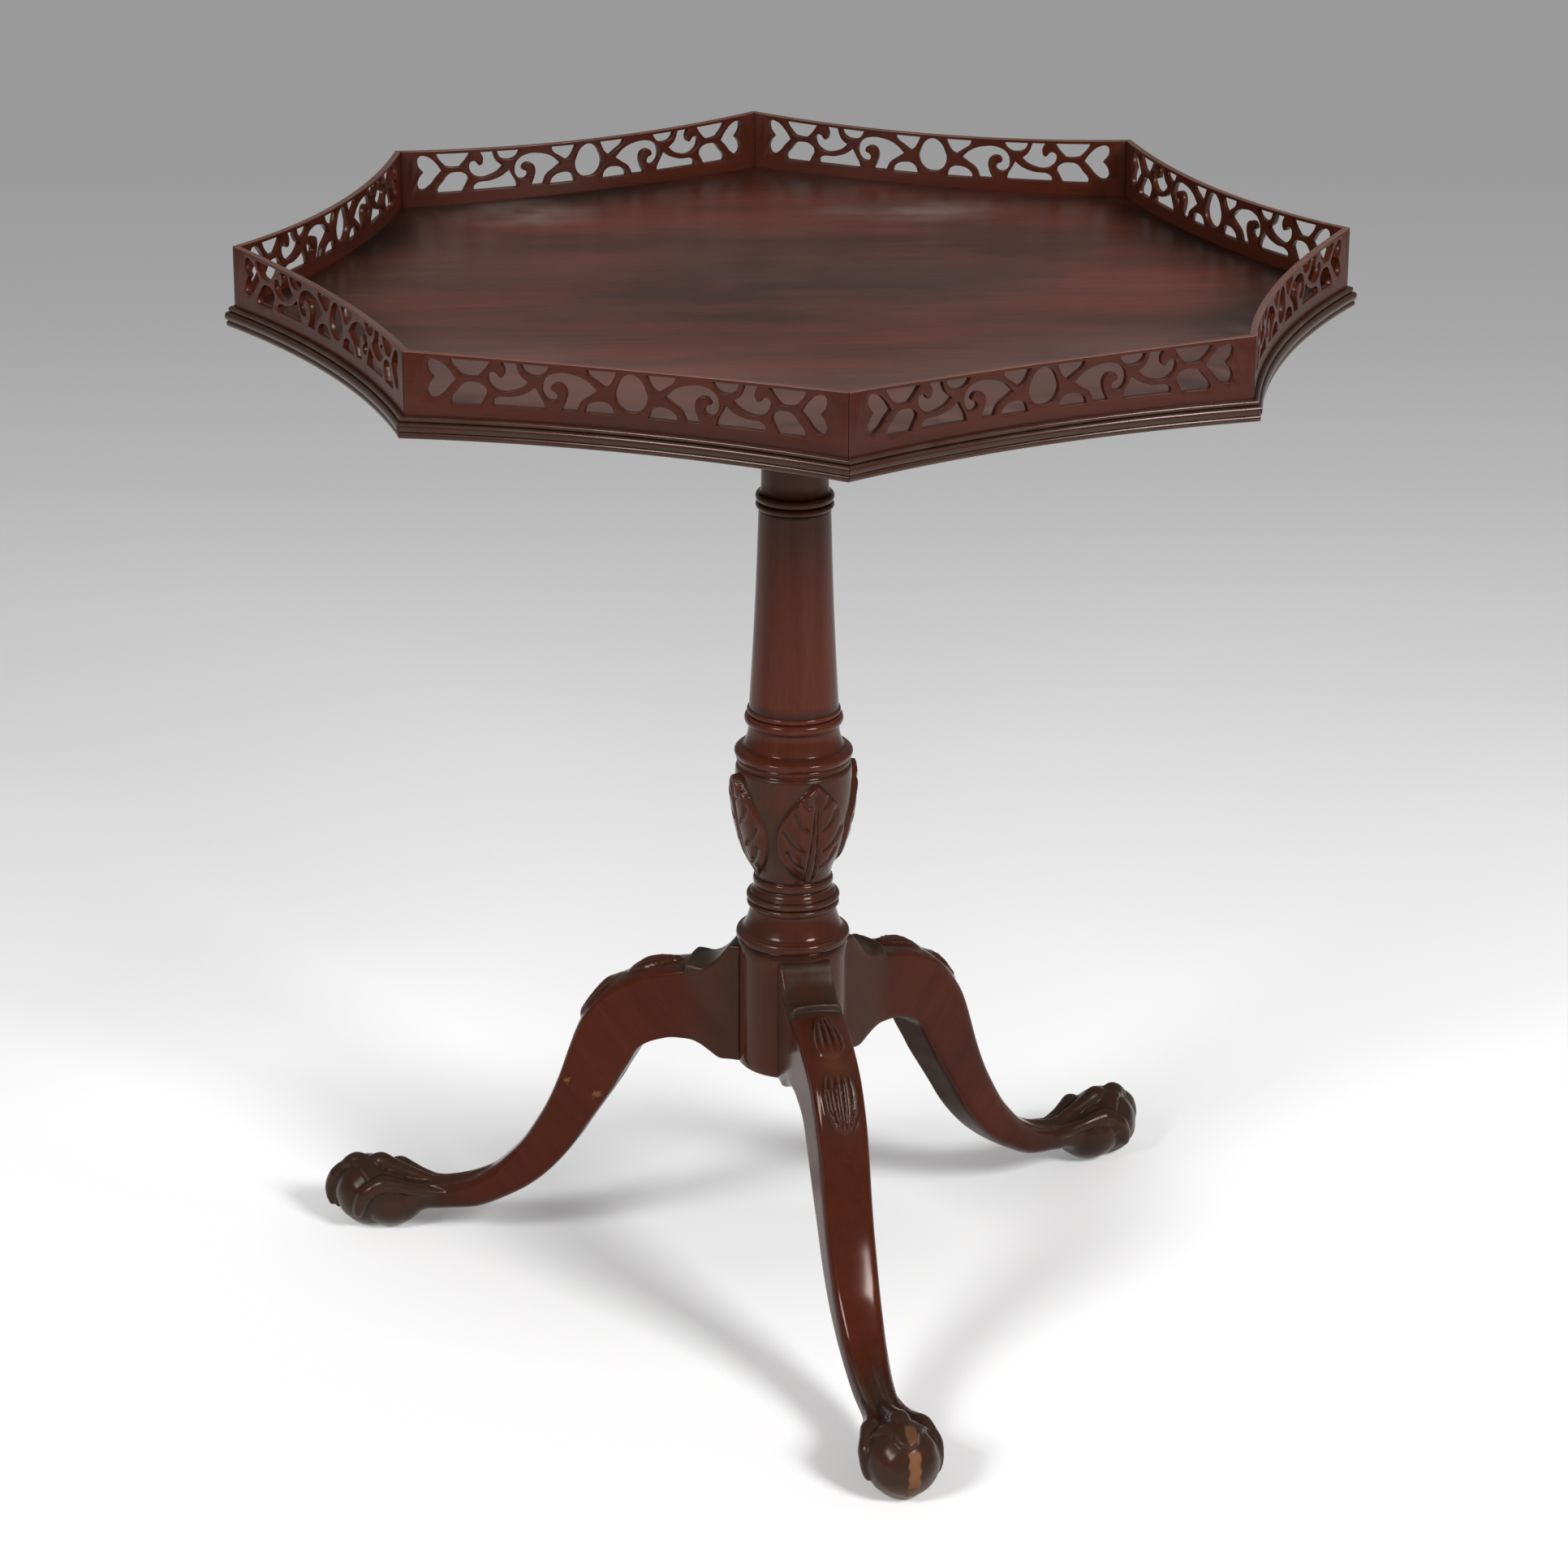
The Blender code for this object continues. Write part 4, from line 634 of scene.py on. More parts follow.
def blank_material(name):
    """A material with only its Principled shader."""
    material = bpy.data.materials.new(name)
    material.use_nodes = True
    tree = material.node_tree
    return material, tree, tree.nodes["Principled BSDF"]


def wood_material(name, light, mid, dark, cloud=0.5, streak=0.5, rubbing=0.4, gathering=0.8, smooth_level=0.2,
                  dull=0.36, bump=0.01, gloss=0.2, along=None, warmth=(1, 1, 1), dry_faces=False):
    """Polished mahogany along a piece's own grain, with its old polish and painted shade, chips and any dry
    faces.
    """
    material, tree, surface = blank_material(name)
    shades = colours()
    if along is None:
        vector = attribute(tree, "grain", "Vector")
    else:
        vector = add(tree, "Mapping", {"Vector": object_place(tree), "Rotation": along})[0]
    grain = grouped(tree, GRAIN, {"Vector": vector, "Light": four(light), "Mid": four(mid),
                                  "Dark": four(dark), "Cloud": cloud, "Streak": streak})
    patches = ramp(tree, noise(tree, vector, 60.0, 5.0, 0.6), 0.38, 0.62, 0.55, 1.0)
    old_polish_and_painted_shade = times(tree, attribute(tree, "old_polish_and_painted_shade"), patches)
    shade = mix(tree, old_polish_and_painted_shade, grain["Color"], four(shades.old_polish_and_painted_shade))
    chip = attribute(tree, "bare")
    shade = mix(tree, chip, shade, four(shades.bare))
    wear = grouped(tree, WEAR, {"Vector": vector, "Color": shade, "Edge": attribute(tree, "edge"),
                                "Worn": four(shades.worn), "Grime": four(shades.grime_and_dark_reflection), "Rubbing": rubbing,
                                "Gathering": gathering})
    polish = grouped(tree, POLISH, {"Vector": vector, "Pores": grain["Pores"], "Smooth": smooth_level,
                                    "Dull": dull, "Smear": 9.0})
    level = polish["Roughness"]
    for share, roughness in ((old_polish_and_painted_shade, 0.32), (chip, 0.75)):
        level = calc(tree, "MAXIMUM", level, times(tree, share, roughness))
    feed(tree, surface, {"Base Color": wear["Color"], "Roughness": level,
                         "Normal": bumped(tree, polish["Height"], bump, 0.002),
                         "Specular IOR Level": gloss, "Specular Tint": four(warmth)})
    if dry_faces:
        sheen = ramp(tree, attribute(tree, "dry"), 0, 1, gloss, DRY_GLOSS)
        feed(tree, surface, {"Specular IOR Level": sheen})
    return material


def mahogany(name, depth=1.0, **settings):
    """The wood of the pillar, legs, gallery and moulding; depth darkens it."""
    shades = colours()
    light, mid, dark = ([depth * part for part in shade]
                        for shade in (shades.wood_light, shades.wood_mid, shades.wood_dark))
    return wood_material(name, light, mid, dark, **settings)


def metal_material(name, base, dark, roughness):
    """Metal with tarnish in soft patches and small scratches."""
    material, tree, surface = blank_material(name)
    place = object_place(tree)
    share = ramp(tree, noise(tree, place, 140.0, 6.0, 0.65), 0.38, 0.68)
    scratch = stretched_noise(tree, place, (4000, 300, 4000), 2)
    feed(tree, surface, {"Base Color": mix(tree, share, four(base), four(dark)), "Metallic": 1.0,
                         "Roughness": ramp(tree, share, 0, 1, roughness, roughness + 0.25),
                         "Normal": bumped(tree, scratch, 0.05, 0.0005)})
    return material


def side_frame():
    """Arc radius and centre of one hollow side whose middle lies on +X."""
    size = sizes()
    half = math.pi / SIDES
    chord = 2 * size.corner * math.sin(half)
    radius = chord ** 2 / (8 * size.hollow) + size.hollow / 2
    return radius, size.corner * math.cos(half) - size.hollow + radius


def side_half_angle(offset):
    """Half the arc of a side, so far outside the gallery's face, seen from the arc's centre."""
    radius, centre = side_frame()
    half = math.pi / SIDES
    along = centre * math.cos(half)
    near = along - math.sqrt(along ** 2 - centre ** 2 + (radius - offset) ** 2)
    return math.asin(near * math.sin(half) / (radius - offset))


def side_point(angle, offset, height):
    """A point on the side on +X, at an angle along its arc."""
    radius, centre = side_frame()
    return (centre - (radius - offset) * math.cos(angle), (radius - offset) * math.sin(angle), height)


def side_turn(index):
    """Direction of the middle of a side."""
    return (2 * index + 1) * math.pi / SIDES


def top_ring(offset, height):
    """The whole hollow-sided outline of the top."""
    steps = sizes().side_steps
    half = side_half_angle(offset)
    ring = []
    for index in range(SIDES):
        turn = Matrix.Rotation(side_turn(index), 3, "Z")
        for step in range(steps):
            ring.append(turn @ Vector(side_point(half * (2 * step / steps - 1), offset, height)))
    return ring


class TEATABLE_OT_board(bpy.types.Operator):
    """Model the figured top board"""
    bl_idname = "teatable.board"
    bl_label = "Top board"

    def execute(self, context):
        low, high = BOARD_LOW.z, BOARD_HIGH.z
        ledge = high - REBATE
        inside = -sizes().fret_thickness - SEAT_GAP
        rows = [(-BOARD_EASE, low), (0, low + BOARD_EASE), (0, ledge), (inside, ledge), (inside, high)]
        rows += [(inside - step * MM, high) for step in SHADE_RINGS]
        board = skin("board", [top_ring(offset, height) for offset, height in rows])
        shade_board(board)
        finish_piece(board, "top", ["top_board"], [board_material()], 40)
        return {"FINISHED"}


def shade_board(board):
    """Store where painted reflections lie on the top: dark beside the gallery, pale behind the front panels.
    """
    x, y, z = points_of(board).T
    radius, centre = side_frame()
    turn = np.arctan2(y, x) % (2 * math.pi / SIDES) - math.pi / SIDES
    reach = np.hypot(x, y)
    inside = np.hypot(centre - reach * np.cos(turn), reach * np.sin(turn)) - radius
    on_top = z > BOARD_HIGH.z - 0.1 * MM
    front = smooth(*FRONT_SPAN, y)
    store(board, "shade", on_top * (1 - front) * smooth(*BAND_SPAN, inside))
    store(board, "pale_reflection", on_top * front * smooth(*PALE_REFLECTION_SPAN, inside))


def board_material():
    """The top's figured mahogany with dark clouds along the grain, and painted dark and pale reflections."""
    material, tree, surface = blank_material("figured_top")
    shades = colours()
    dark = four(shades.top_dark)
    reflection = four(shades.reflection)
    place = object_place(tree)
    grain = grouped(tree, GRAIN, {"Vector": place, "Light": four(shades.top_light), "Dark": dark,
                                  "Mid": four(shades.top_mid), "Cloud": 0.5, "Streak": 0.5})
    flame = ramp(tree, stretched_noise(tree, place, (4, 17, 17), 6, 0.62), 0.46, 0.66)
    shade = mix(tree, times(tree, flame, 0.55), grain["Color"], dark)
    cloud = ramp(tree, stretched_noise(tree, place, (7, 16, 16), 5, 0.6), 0.34, 0.66)
    for middle, reach, strength in DARK_PATCHES:
        patch = times(tree, near_spot(tree, place, middle, reach, 1.45, 0.5), cloud)
        shade = mix(tree, times(tree, patch, strength), shade, dark)
    uneven = ramp(tree, stretched_noise(tree, place, (8, 8, 8), 4), 0.1, 0.55)
    # Painted dark reflection of the gallery in the band beside it, darker in uneven patches
    shade = mix(tree, times(tree, attribute(tree, "shade"), uneven), shade, four(shades.grime_and_dark_reflection))
    mottle = ramp(tree, stretched_noise(tree, place, (22, 34, 34), 3), 0.25, 0.75)
    # Painted pale reflections in spots beside the back panels
    for across, back, reach in REFLECTION_SPOTS:
        spot = near_spot(tree, place, (across, back, BOARD_HIGH.z), reach, 1.2, 0.1)
        shade = mix(tree, times(tree, spot, mottle), shade, reflection)
    # Painted pale reflection on the top behind the front panels
    shade = mix(tree, times(tree, attribute(tree, "pale_reflection"), PALE_REFLECTION_STRENGTH), shade, reflection)
    polish = grouped(tree, POLISH, {"Vector": place, "Pores": grain["Pores"], "Smooth": 0.27, "Dull": 0.4,
                                    "Smear": 7.0})
    feed(tree, surface, {"Base Color": shade, "Roughness": polish["Roughness"], "Specular IOR Level": 0.28})
    return material


def rim_height(share):
    """Height of the gallery above the board at a share of its half length."""
    return RIM - BOARD_HIGH.z - sizes().dip * (1 - share ** 2)


def add_outline(curve, points, corners):
    """Add one closed outline to a flat curve: smooth but for its sharp points."""
    spline = curve.splines.new("BEZIER")
    spline.bezier_points.add(len(points) - 1)
    for index, (x, z) in enumerate(points):
        knot = spline.bezier_points[index]
        knot.co = (x * MM, z, 0)
        kind = "VECTOR" if index in corners else "AUTO"
        knot.handle_left_type = kind
        knot.handle_right_type = kind
    spline.use_cyclic_u = True
    spline.resolution_u = 5


def fret_curve():
    """The fret as a flat filled curve with eased edges."""
    size = sizes()
    curve = bpy.data.curves.new("fret", "CURVE")
    curve.dimensions = "2D"
    curve.fill_mode = "BOTH"
    curve.extrude = size.fret_thickness / 2 - size.fret_ease
    curve.bevel_depth = size.fret_ease
    curve.bevel_resolution = 1
    curve.offset = -size.fret_ease
    edge = [(share * FRET_HALF, rim_height(share)) for share in np.linspace(1, -1, 25)]
    outline = [(-FRET_HALF, FRET_FOOT * MM), (FRET_HALF, FRET_FOOT * MM)] + edge
    add_outline(curve, outline, range(len(outline)))
    whole = FRET_PEAR + [(-x, z) for x, z in FRET_PEAR[-2:0:-1]]
    for points, corners in [(whole, ())] + FRET_OPENINGS:
        raised = [(x, z / FRET_HEIGHT * rim_height(x / FRET_HALF)) for x, z in points]
        add_outline(curve, raised, corners)
        if points is not whole:
            add_outline(curve, [(-x, z) for x, z in raised], corners)
    return curve


def sawn_panel():
    """The flat fret as a mesh, cut across so that it can bend."""
    panel = from_curve("gallery", fret_curve())
    edit(panel)
    for x in FRET_CUTS:
        bpy.ops.mesh.select_all(action="SELECT")
        bpy.ops.mesh.bisect(plane_co=(x * MM, 0, 0), plane_no=(1, 0, 0))
    outward(panel)
    return panel


def bend_panel(panel, points):
    """Bend the flat fret to a side and mitre its ends."""
    along, height, depth = points.T
    radius, centre = side_frame()
    offset = depth - sizes().fret_thickness / 2
    ends = np.array([side_half_angle(value) - MITRE_GAP / radius for value in offset])
    near_end = np.clip((np.abs(along) - FRET_END * MM) / ((FRET_HALF - FRET_END) * MM), 0, 1)
    angle = along / radius * (1 - near_end) + along / (FRET_HALF * MM) * ends * near_end
    reach = radius - offset
    bent = [centre - reach * np.cos(angle), reach * np.sin(angle), BOARD_HIGH.z + height]
    move_points(panel, np.stack(bent, 1))


def mark_rim(panel, points):
    """Give the faces along the rim the second material."""
    rim = np.array([rim_height(min(1, abs(x) / (FRET_HALF * MM))) for x in points[:, 0]])
    top = points[:, 1] > rim - FRET_RUB
    for face in panel.data.polygons:
        face.material_index = 1 if all(top[index] for index in face.vertices) else 0


def worn_rim_material():
    """The rubbed top edge of the gallery."""
    shades = colours()
    worn = [0.55 * a + 0.45 * b for a, b in zip(shades.wood_light, shades.worn)]
    return wood_material("rubbed_rim", shades.worn, worn, shades.wood_mid, streak=0.6, rubbing=0, gathering=0,
                         smooth_level=0.24, dull=0.4)


class TEATABLE_OT_gallery(bpy.types.Operator):
    """Saw the pierced gallery panels and bend them to the sides"""
    bl_idname = "teatable.gallery"
    bl_label = "Pierced gallery"

    def execute(self, context):
        panel = sawn_panel()
        points = points_of(panel)
        bend_panel(panel, points)
        mark_rim(panel, points)
        store_even(panel, "edge", 0.5)
        woods = [mahogany("gallery_wood", depth=0.7, cloud=0.4, streak=0.35, smooth_level=0.24, dull=0.4),
                 worn_rim_material()]
        for index in range(SIDES):
            twin = copy_piece(panel, "fret_" + str(index + 1), side_turn(index))
            store(twin, "grain", points[:, [0, 2, 1]] + (index * 0.37, 0, index * 0.11))
            finish_piece(twin, "top", ["gallery_panel_" + str(index + 1)], woods, 35)
        bpy.data.objects.remove(panel)
        return {"FINISHED"}


def reed_outline():
    """Section of the moulding from its top: distance from the gallery's face, and height, in millimetres."""
    outline = [(REED_BACK, 0)]
    level = 0
    for height, reach in REEDS:
        for step in range(11):
            turn = math.radians(90 - 18 * step)
            outline.append((reach - REED_ROOT + REED_SWELL * math.cos(turn),
                            level - height / 2 + height / 2 * math.sin(turn)))
        level -= height
    return outline + [(REED_BACK, level)]


def along_side(piece):
    """Grain that runs along a side, kept before the piece is turned to its place."""
    radius, centre = side_frame()
    x, y, z = points_of(piece).T
    return np.stack([np.arctan2(y, centre - x) * radius, radius - np.hypot(y, centre - x), z], 1)


class TEATABLE_OT_moulding(bpy.types.Operator):
    """Run the reeded edge moulding along the sides"""
    bl_idname = "teatable.moulding"
    bl_label = "Edge moulding"

    def execute(self, context):
        radius = side_frame()[0]
        steps = sizes().side_steps
        rings = [[] for step in range(steps + 1)]
        for offset, height in reed_outline():
            half = side_half_angle(offset * MM) - MITRE_GAP / radius
            for step, ring in enumerate(rings):
                angle = (2 * step / steps - 1) * half
                ring.append(Vector(side_point(angle, offset * MM, BOARD_HIGH.z + height * MM)))
        reeds = skin("reeds", rings)
        mark_edges(reeds, 0.0006, 1)
        store_even(reeds, "old_polish_and_painted_shade", 0.7)
        grain = along_side(reeds)
        wood = mahogany("moulding_wood", depth=0.5, streak=0.3, rubbing=0.6, gathering=0.95,
                        smooth_level=0.15, dull=0.3, gloss=0.32, warmth=WARM)
        for index in range(SIDES):
            twin = copy_piece(reeds, "moulding_" + str(index + 1), side_turn(index))
            store(twin, "grain", grain + (index * 0.41, 0, index * 0.13))
            finish_piece(twin, "top", ["edge_moulding_" + str(index + 1)], [wood], 50)
        bpy.data.objects.remove(reeds)
        return {"FINISHED"}


def bead(low, high, core, swell, steps=10):
    """A round bead of the turning, going up, in millimetres."""
    points = []
    for step in range(steps + 1):
        turn = math.pi * step / steps
        points.append((core + swell * math.sin(turn), (low + high) / 2 - (high - low) / 2 * math.cos(turn)))
    return points


def cove(low, high, start, stop, steps=10):
    """A hollow from one radius to another, going up, in millimetres."""
    points = []
    for step in range(steps + 1):
        t = step / steps
        bow = (1 - t) ** 2 if start > stop else t ** 2
        points.append((min(start, stop) + abs(start - stop) * bow, low + (high - low) * t))
    return points


def turned_curve(table, steps):
    """A smooth curve of the turning through a table of heights and radii."""
    return [(radius, height) for height, radius in along_rows(table, steps)]


def shaft():
    """The tapering shaft, slightly hollow, in millimetres."""
    points = []
    for step in range(SHAFT_STEPS + 1):
        t = step / SHAFT_STEPS
        radius = SHAFT_RADIUS - SHAFT_TAPER * t - SHAFT_HOLLOW * math.sin(math.pi * t)
        points.append((radius, SHAFT_FOOT + SHAFT_LENGTH * t))
    return points


def pillar_profile():
    """The turned outline from the pillar's bottom to the top of its tenon, in metres."""
    points = [(0, 163), (34.5, 163), (36, 164.5)] + [(36, z) for z in range(170, 250, 8)] + [(36, 250.8)]
    points += bead(251.2, 257.6, 35.7, 1.8, 12) + [(34.4, 257.8)] + turned_curve(BELL, 5)
    points += bead(274.4, 278.9, 28.2, 2.2) + bead(279.1, 283.9, 28.2, 2.5) + [(28, 284.2), (27.9, 285)]
    points += cove(285.4, 289.4, 27.6, 25.6, 6) + bead(289.8, 295.6, 25.1, 1.3) + turned_curve(URN, 7)
    points += [(36.3, 373.6), (36.1, 374.6), (36.3, 375.6), (37.2, 376), (37.4, 378), (36.7, 378.6)]
    points += turned_curve(TORUS, 4) + cove(387.8, 400.6, 32.2, 29.5)
    points += bead(401.2, 408.4, 29.5, 2.8, 12) + bead(408.6, 412.4, 29.2, 1.4, 8) + shaft()
    points += [(23.4, 544.8), (23.4, 546.8)] + bead(547.1, 551.8, 23.3, 2) + bead(552, 557.8, 23.1, 2.3)
    points += [(22.4, 558.4), (21.8, 560)] + [(21.8, z) for z in range(566, 612, 6)]
    points += cove(612, 630, 21.8, 33, 12) + [(33, 630.4), (33, 633.3), (16, 633.3), (16, 671), (0, 671)]
    return [(radius * MM, height * MM) for radius, height in points]


def leaf_cuts(across, height):
    """Depth of the cuts in a leaf: one on each side of its middle, and the veins."""
    middle = 0.9 + 1.9 * smooth(366, 300, height)
    cut = 0.9 * np.exp(-((across - middle) / 0.8) ** 2) * smooth(368, 361, height)
    for (x0, z0), (x1, z1) in VEINS:
        t = np.clip(((across - x0) * (x1 - x0) + (height - z0) * (z1 - z0))
                    / ((x1 - x0) ** 2 + (z1 - z0) ** 2), 0, 1)
        bow = 1.3 * np.sin(math.pi * t)
        away = np.hypot(across - x0 - t * (x1 - x0) - bow, height - z0 - t * (z1 - z0) + 0.6 * bow)
        cut = np.maximum(cut, np.exp(-(away / (0.8 + 1.3 * t)) ** 2))
    return cut


def carve_urn(points):
    """Raise four veined leaves on the urn; also tell how much old polish and painted shade lie on the pillar.
    """
    radius = np.hypot(points[:, 0], points[:, 1]) / MM
    height = points[:, 2] / MM
    on_urn = (height > URN_FOOT) & (height < URN_TOP) & (radius > 24)
    turn = np.arctan2(points[:, 1], points[:, 0]) - sizes().leaf_turn
    turn = (turn + math.pi / 4) % (math.pi / 2) - math.pi / 4
    rows = along_rows(LEAF, 6)
    grown = np.interp(height, rows[:, 0], rows[:, 2])
    across = np.abs(turn) * grown
    half = np.radians(np.interp(height, rows[:, 0], rows[:, 1])) * grown
    inside = smooth(-0.5, 0.8, half - across) * smooth(371.4, 370, height)
    swell = np.clip(across / np.maximum(half, 1), 0, 1)
    relief = 0.9 * np.sin(math.pi * swell) * smooth(302, 316, height) - 0.5 * swell ** 3
    cut = leaf_cuts(across, height)
    raised = radius + inside * (np.maximum(grown - radius, 0) + relief - 1.6 * cut)
    raised = raised - 0.7 * (1 - inside) * smooth(297, 304, height) * smooth(352, 330, height)
    scale = np.where(on_urn, raised / np.maximum(radius, 1e-6), 1)
    carved = points.copy()
    carved[:, :2] *= scale[:, None]
    # Ground between the leaves darker, most beside their edges: old polish and painted shade
    beside = (1 - inside) * smooth(5, 0.5, np.abs(half - across))
    leaf = 0.35 + 0.3 * smooth(330, 300, height)
    carving = np.maximum((1 - inside) * (0.75 + 0.2 * beside) + inside * leaf, 0.95 * cut * inside)
    turning = (0.35 * smooth(415, 395, height) + 0.3 * smooth(310, 290, height)
               - 0.3 * smooth(250, 235, height) + 0.5 * smooth(515, 552, height))
    return carved, np.where(on_urn, carving, turning)


class TEATABLE_OT_pillar(bpy.types.Operator):
    """Turn the pillar and carve the leaves on its urn"""
    bl_idname = "teatable.pillar"
    bl_label = "Turned pillar"

    def execute(self, context):
        pillar = turned("column", pillar_profile(), PILLAR_STEPS)
        carved, old_polish_and_painted_shade = carve_urn(points_of(pillar))
        move_points(pillar, carved)
        store(pillar, "old_polish_and_painted_shade", old_polish_and_painted_shade)
        mark_edges(pillar, 0.001, 2)
        store(pillar, "grain", points_of(pillar)[:, [2, 0, 1]])
        wood = mahogany("pillar_wood", cloud=0.45, streak=0.35, rubbing=0.25, gathering=0.95,
                        smooth_level=0.09, dull=0.2, gloss=0.18, warmth=WARM)
        finish_piece(pillar, "pedestal", ["pillar"], [wood], 60)
        return {"FINISHED"}


def section_square():
    """Points round a square section, close together on the upper side."""
    upper = [(1 - 2 * i / UPPER_POINTS, 1) for i in range(UPPER_POINTS)]
    steps = [2 * i / SIDE_POINTS for i in range(SIDE_POINTS)]
    far = [(-1, 1 - step) for step in steps]
    lower = [(-1 + step, -1) for step in steps]
    near = [(1, -1 + step) for step in steps]
    return np.array(upper + far + lower + near)


def knee_lift(reach, across, width):
    """Height of the carving over the leg's upper edges, in millimetres."""
    share = across / width
    lift = table_at(CROWN, reach) * (1 - share ** 2) ** 0.75
    lip = table_at(LIP, reach + 9 * share ** 4) * (1 - np.abs(share) ** 14)
    lift = lift + lip * (1 - 0.4 * share ** 4)
    for outline, rim, start, stop, ribbed, ground, height in KNEE_LEAVES:
        half = np.maximum(np.interp(reach, *np.array(outline).T, left=0, right=0), 1e-3)
        fan = across / half
        leaf = smooth(0, rim, 1 - np.abs(fan)) * smooth(*start, reach) * smooth(*stop, reach)
        ribs = 0.5 + 0.5 * np.cos(fan * KNEE_RIBS * math.pi)
        lift = lift + leaf * (ground + height * ribs * smooth(*ribbed, reach))
    tendon = smooth(205, 240, reach) * smooth(300, 284, reach)
    ridges = np.exp(-(share / 0.2) ** 2) + np.exp(-((np.abs(share) - 0.78) / 0.16) ** 2)
    return lift + tendon * (2.8 * ridges - 1.3) * (1 - np.abs(share) ** 12)


def leg_rings():
    """Cross-sections of the leg, drawn along +X, in metres."""
    square = section_square()
    rings = []
    for top_reach, top, low_reach, low, width in along_rows(LEG_ROWS, 10):
        up = np.array([top_reach - low_reach, 0, top - low])
        depth = np.hypot(up[0], up[2])
        up /= depth
        middle = np.array([(top_reach + low_reach) / 2, 0, (top + low) / 2])
        power = np.interp(top_reach, *np.array(SQUARENESS).T)
        factor = (np.abs(square[:, 0]) ** power + np.abs(square[:, 1]) ** power) ** (-1 / power)
        across = square[:, 0] * factor * width
        rise = square[:, 1] * factor * depth / 2
        upper = square[:, 1] > 0.999
        rise = rise + np.where(upper, knee_lift(top_reach, across, width * 1.001), 0)
        points = middle + rise[:, None] * up
        points[:, 1] = across
        rings.append([Vector(point * MM) for point in points])
    return rings


def ball_points(points):
    """Lay a skin over the back and top of the ball and flatten its bottom."""
    radius = sizes().ball / MM
    place = points / np.linalg.norm(points, axis=1)[:, None]
    turn = np.abs(np.degrees(np.arctan2(place[:, 1], place[:, 0])))
    edge = radius * np.cos(np.radians(np.interp(turn, *np.array(SKIN_EDGE).T)))
    dents = np.sin(9 * place[:, 0] + 5 * place[:, 1] + 1) * np.sin(8 * place[:, 2] - 4 * place[:, 1])
    grown = radius - 0.3 + 0.3 * dents + SKIN_THICKNESS * smooth(-0.9, 0.9, place[:, 2] * radius - edge)
    shaped = place * grown[:, None]
    shaped[:, 2] = np.maximum(shaped[:, 2], -math.sqrt(radius ** 2 - FOOT_FLAT ** 2))
    return shaped


def sphere(segments, rings, radius):
    """A plain ball."""
    bpy.ops.mesh.primitive_uv_sphere_add(segments=segments, ring_count=rings, radius=radius)
    return bpy.context.object


def rope(points):
    """A rounded bar along a smooth line with its own thickness at each point."""
    curve = bpy.data.curves.new("toe", "CURVE")
    curve.dimensions = "3D"
    curve.bevel_depth = MM
    curve.bevel_resolution = 6
    curve.use_fill_caps = True
    spline = curve.splines.new("BEZIER")
    spline.bezier_points.add(len(points) - 1)
    for knot, (reach, across, height, radius) in zip(spline.bezier_points, points):
        knot.co = (reach * MM, across * MM, height * MM)
        knot.radius = radius
        knot.handle_left_type = "AUTO"
        knot.handle_right_type = "AUTO"
    return from_curve("toe", curve)


def carved_leg(middle_toes):
    """One leg along +X with its clawed foot."""
    size = sizes()
    leg = skin("cabriole", leg_rings())
    deselect()
    ball = sphere(160, 100, size.ball)
    standing = math.sqrt(size.ball ** 2 - (FOOT_FLAT * MM) ** 2)
    move_points(ball, ball_points(points_of(ball)) * MM + (size.foot_reach, 0, standing))
    palm = sphere(96, 64, 1)
    move_points(palm, points_of(palm) * PALM_REACH * MM + np.array(PALM_PLACE) * MM)
    other_toe = [(reach, -across, height, radius) for reach, across, height, radius in SIDE_TOE]
    bars = [rope(toe) for toe in (SIDE_TOE, other_toe, *middle_toes)]
    pick(leg, ball, palm, *bars)
    bpy.ops.object.join()
    apply_modifier(leg, "REMESH", mode="VOXEL", voxel_size=size.carve_voxel)
    apply_modifier(leg, "SMOOTH", factor=0.5, iterations=3)
    foot = leg.vertex_groups.new(name="foot")
    foot.add(np.flatnonzero(points_of(leg)[:, 0] > FOOT_START * MM).tolist(), 1, "REPLACE")
    apply_modifier(leg, "SMOOTH", factor=0.5, iterations=7, vertex_group="foot")
    triangles = sum(len(face.vertices) - 2 for face in leg.data.polygons)
    apply_modifier(leg, "DECIMATE", ratio=min(1, LEG_TRIANGLES / triangles))
    points = points_of(leg)
    points[:, 2] = np.maximum(points[:, 2], 0)
    move_points(leg, points)
    return leg


def leg_faces(leg):
    """How far each point belongs to the leg's underside, and to its two sides."""
    reach = points_of(leg)[:, 0] / MM
    normals = points_of(leg, "normal")
    between = smooth(60, 75, reach) * smooth(262, 245, reach)
    under = smooth(0.5, 0.85, np.maximum(-normals[:, 0], -normals[:, 2]))
    beside = smooth(0.7, 0.95, np.abs(normals[:, 1]))
    return under * between, beside * between


def aged(points):
    """How dark a leg gets: old polish on foot and carving, painted shade on the knee's block, and darker near
    the pillar.
    """
    reach, across, height = points.T
    rows = np.array(LEG_ROWS)
    upper = smooth(5, -1, np.interp(reach, rows[:, 0], rows[:, 1]) - height)
    # The knee's cove block: old polish and painted shade
    block = smooth(78, 72, reach)
    carving = smooth(72, 80, reach) * smooth(156, 146, reach) * smooth(15, 11, np.abs(across))
    # Darker near the pillar
    root = 0.6 * smooth(100, 45, reach)
    foot = 1.1 * smooth(205, 255, reach)
    return np.maximum.reduce([1.3 * block * upper, 0.5 * carving * upper, root, foot])


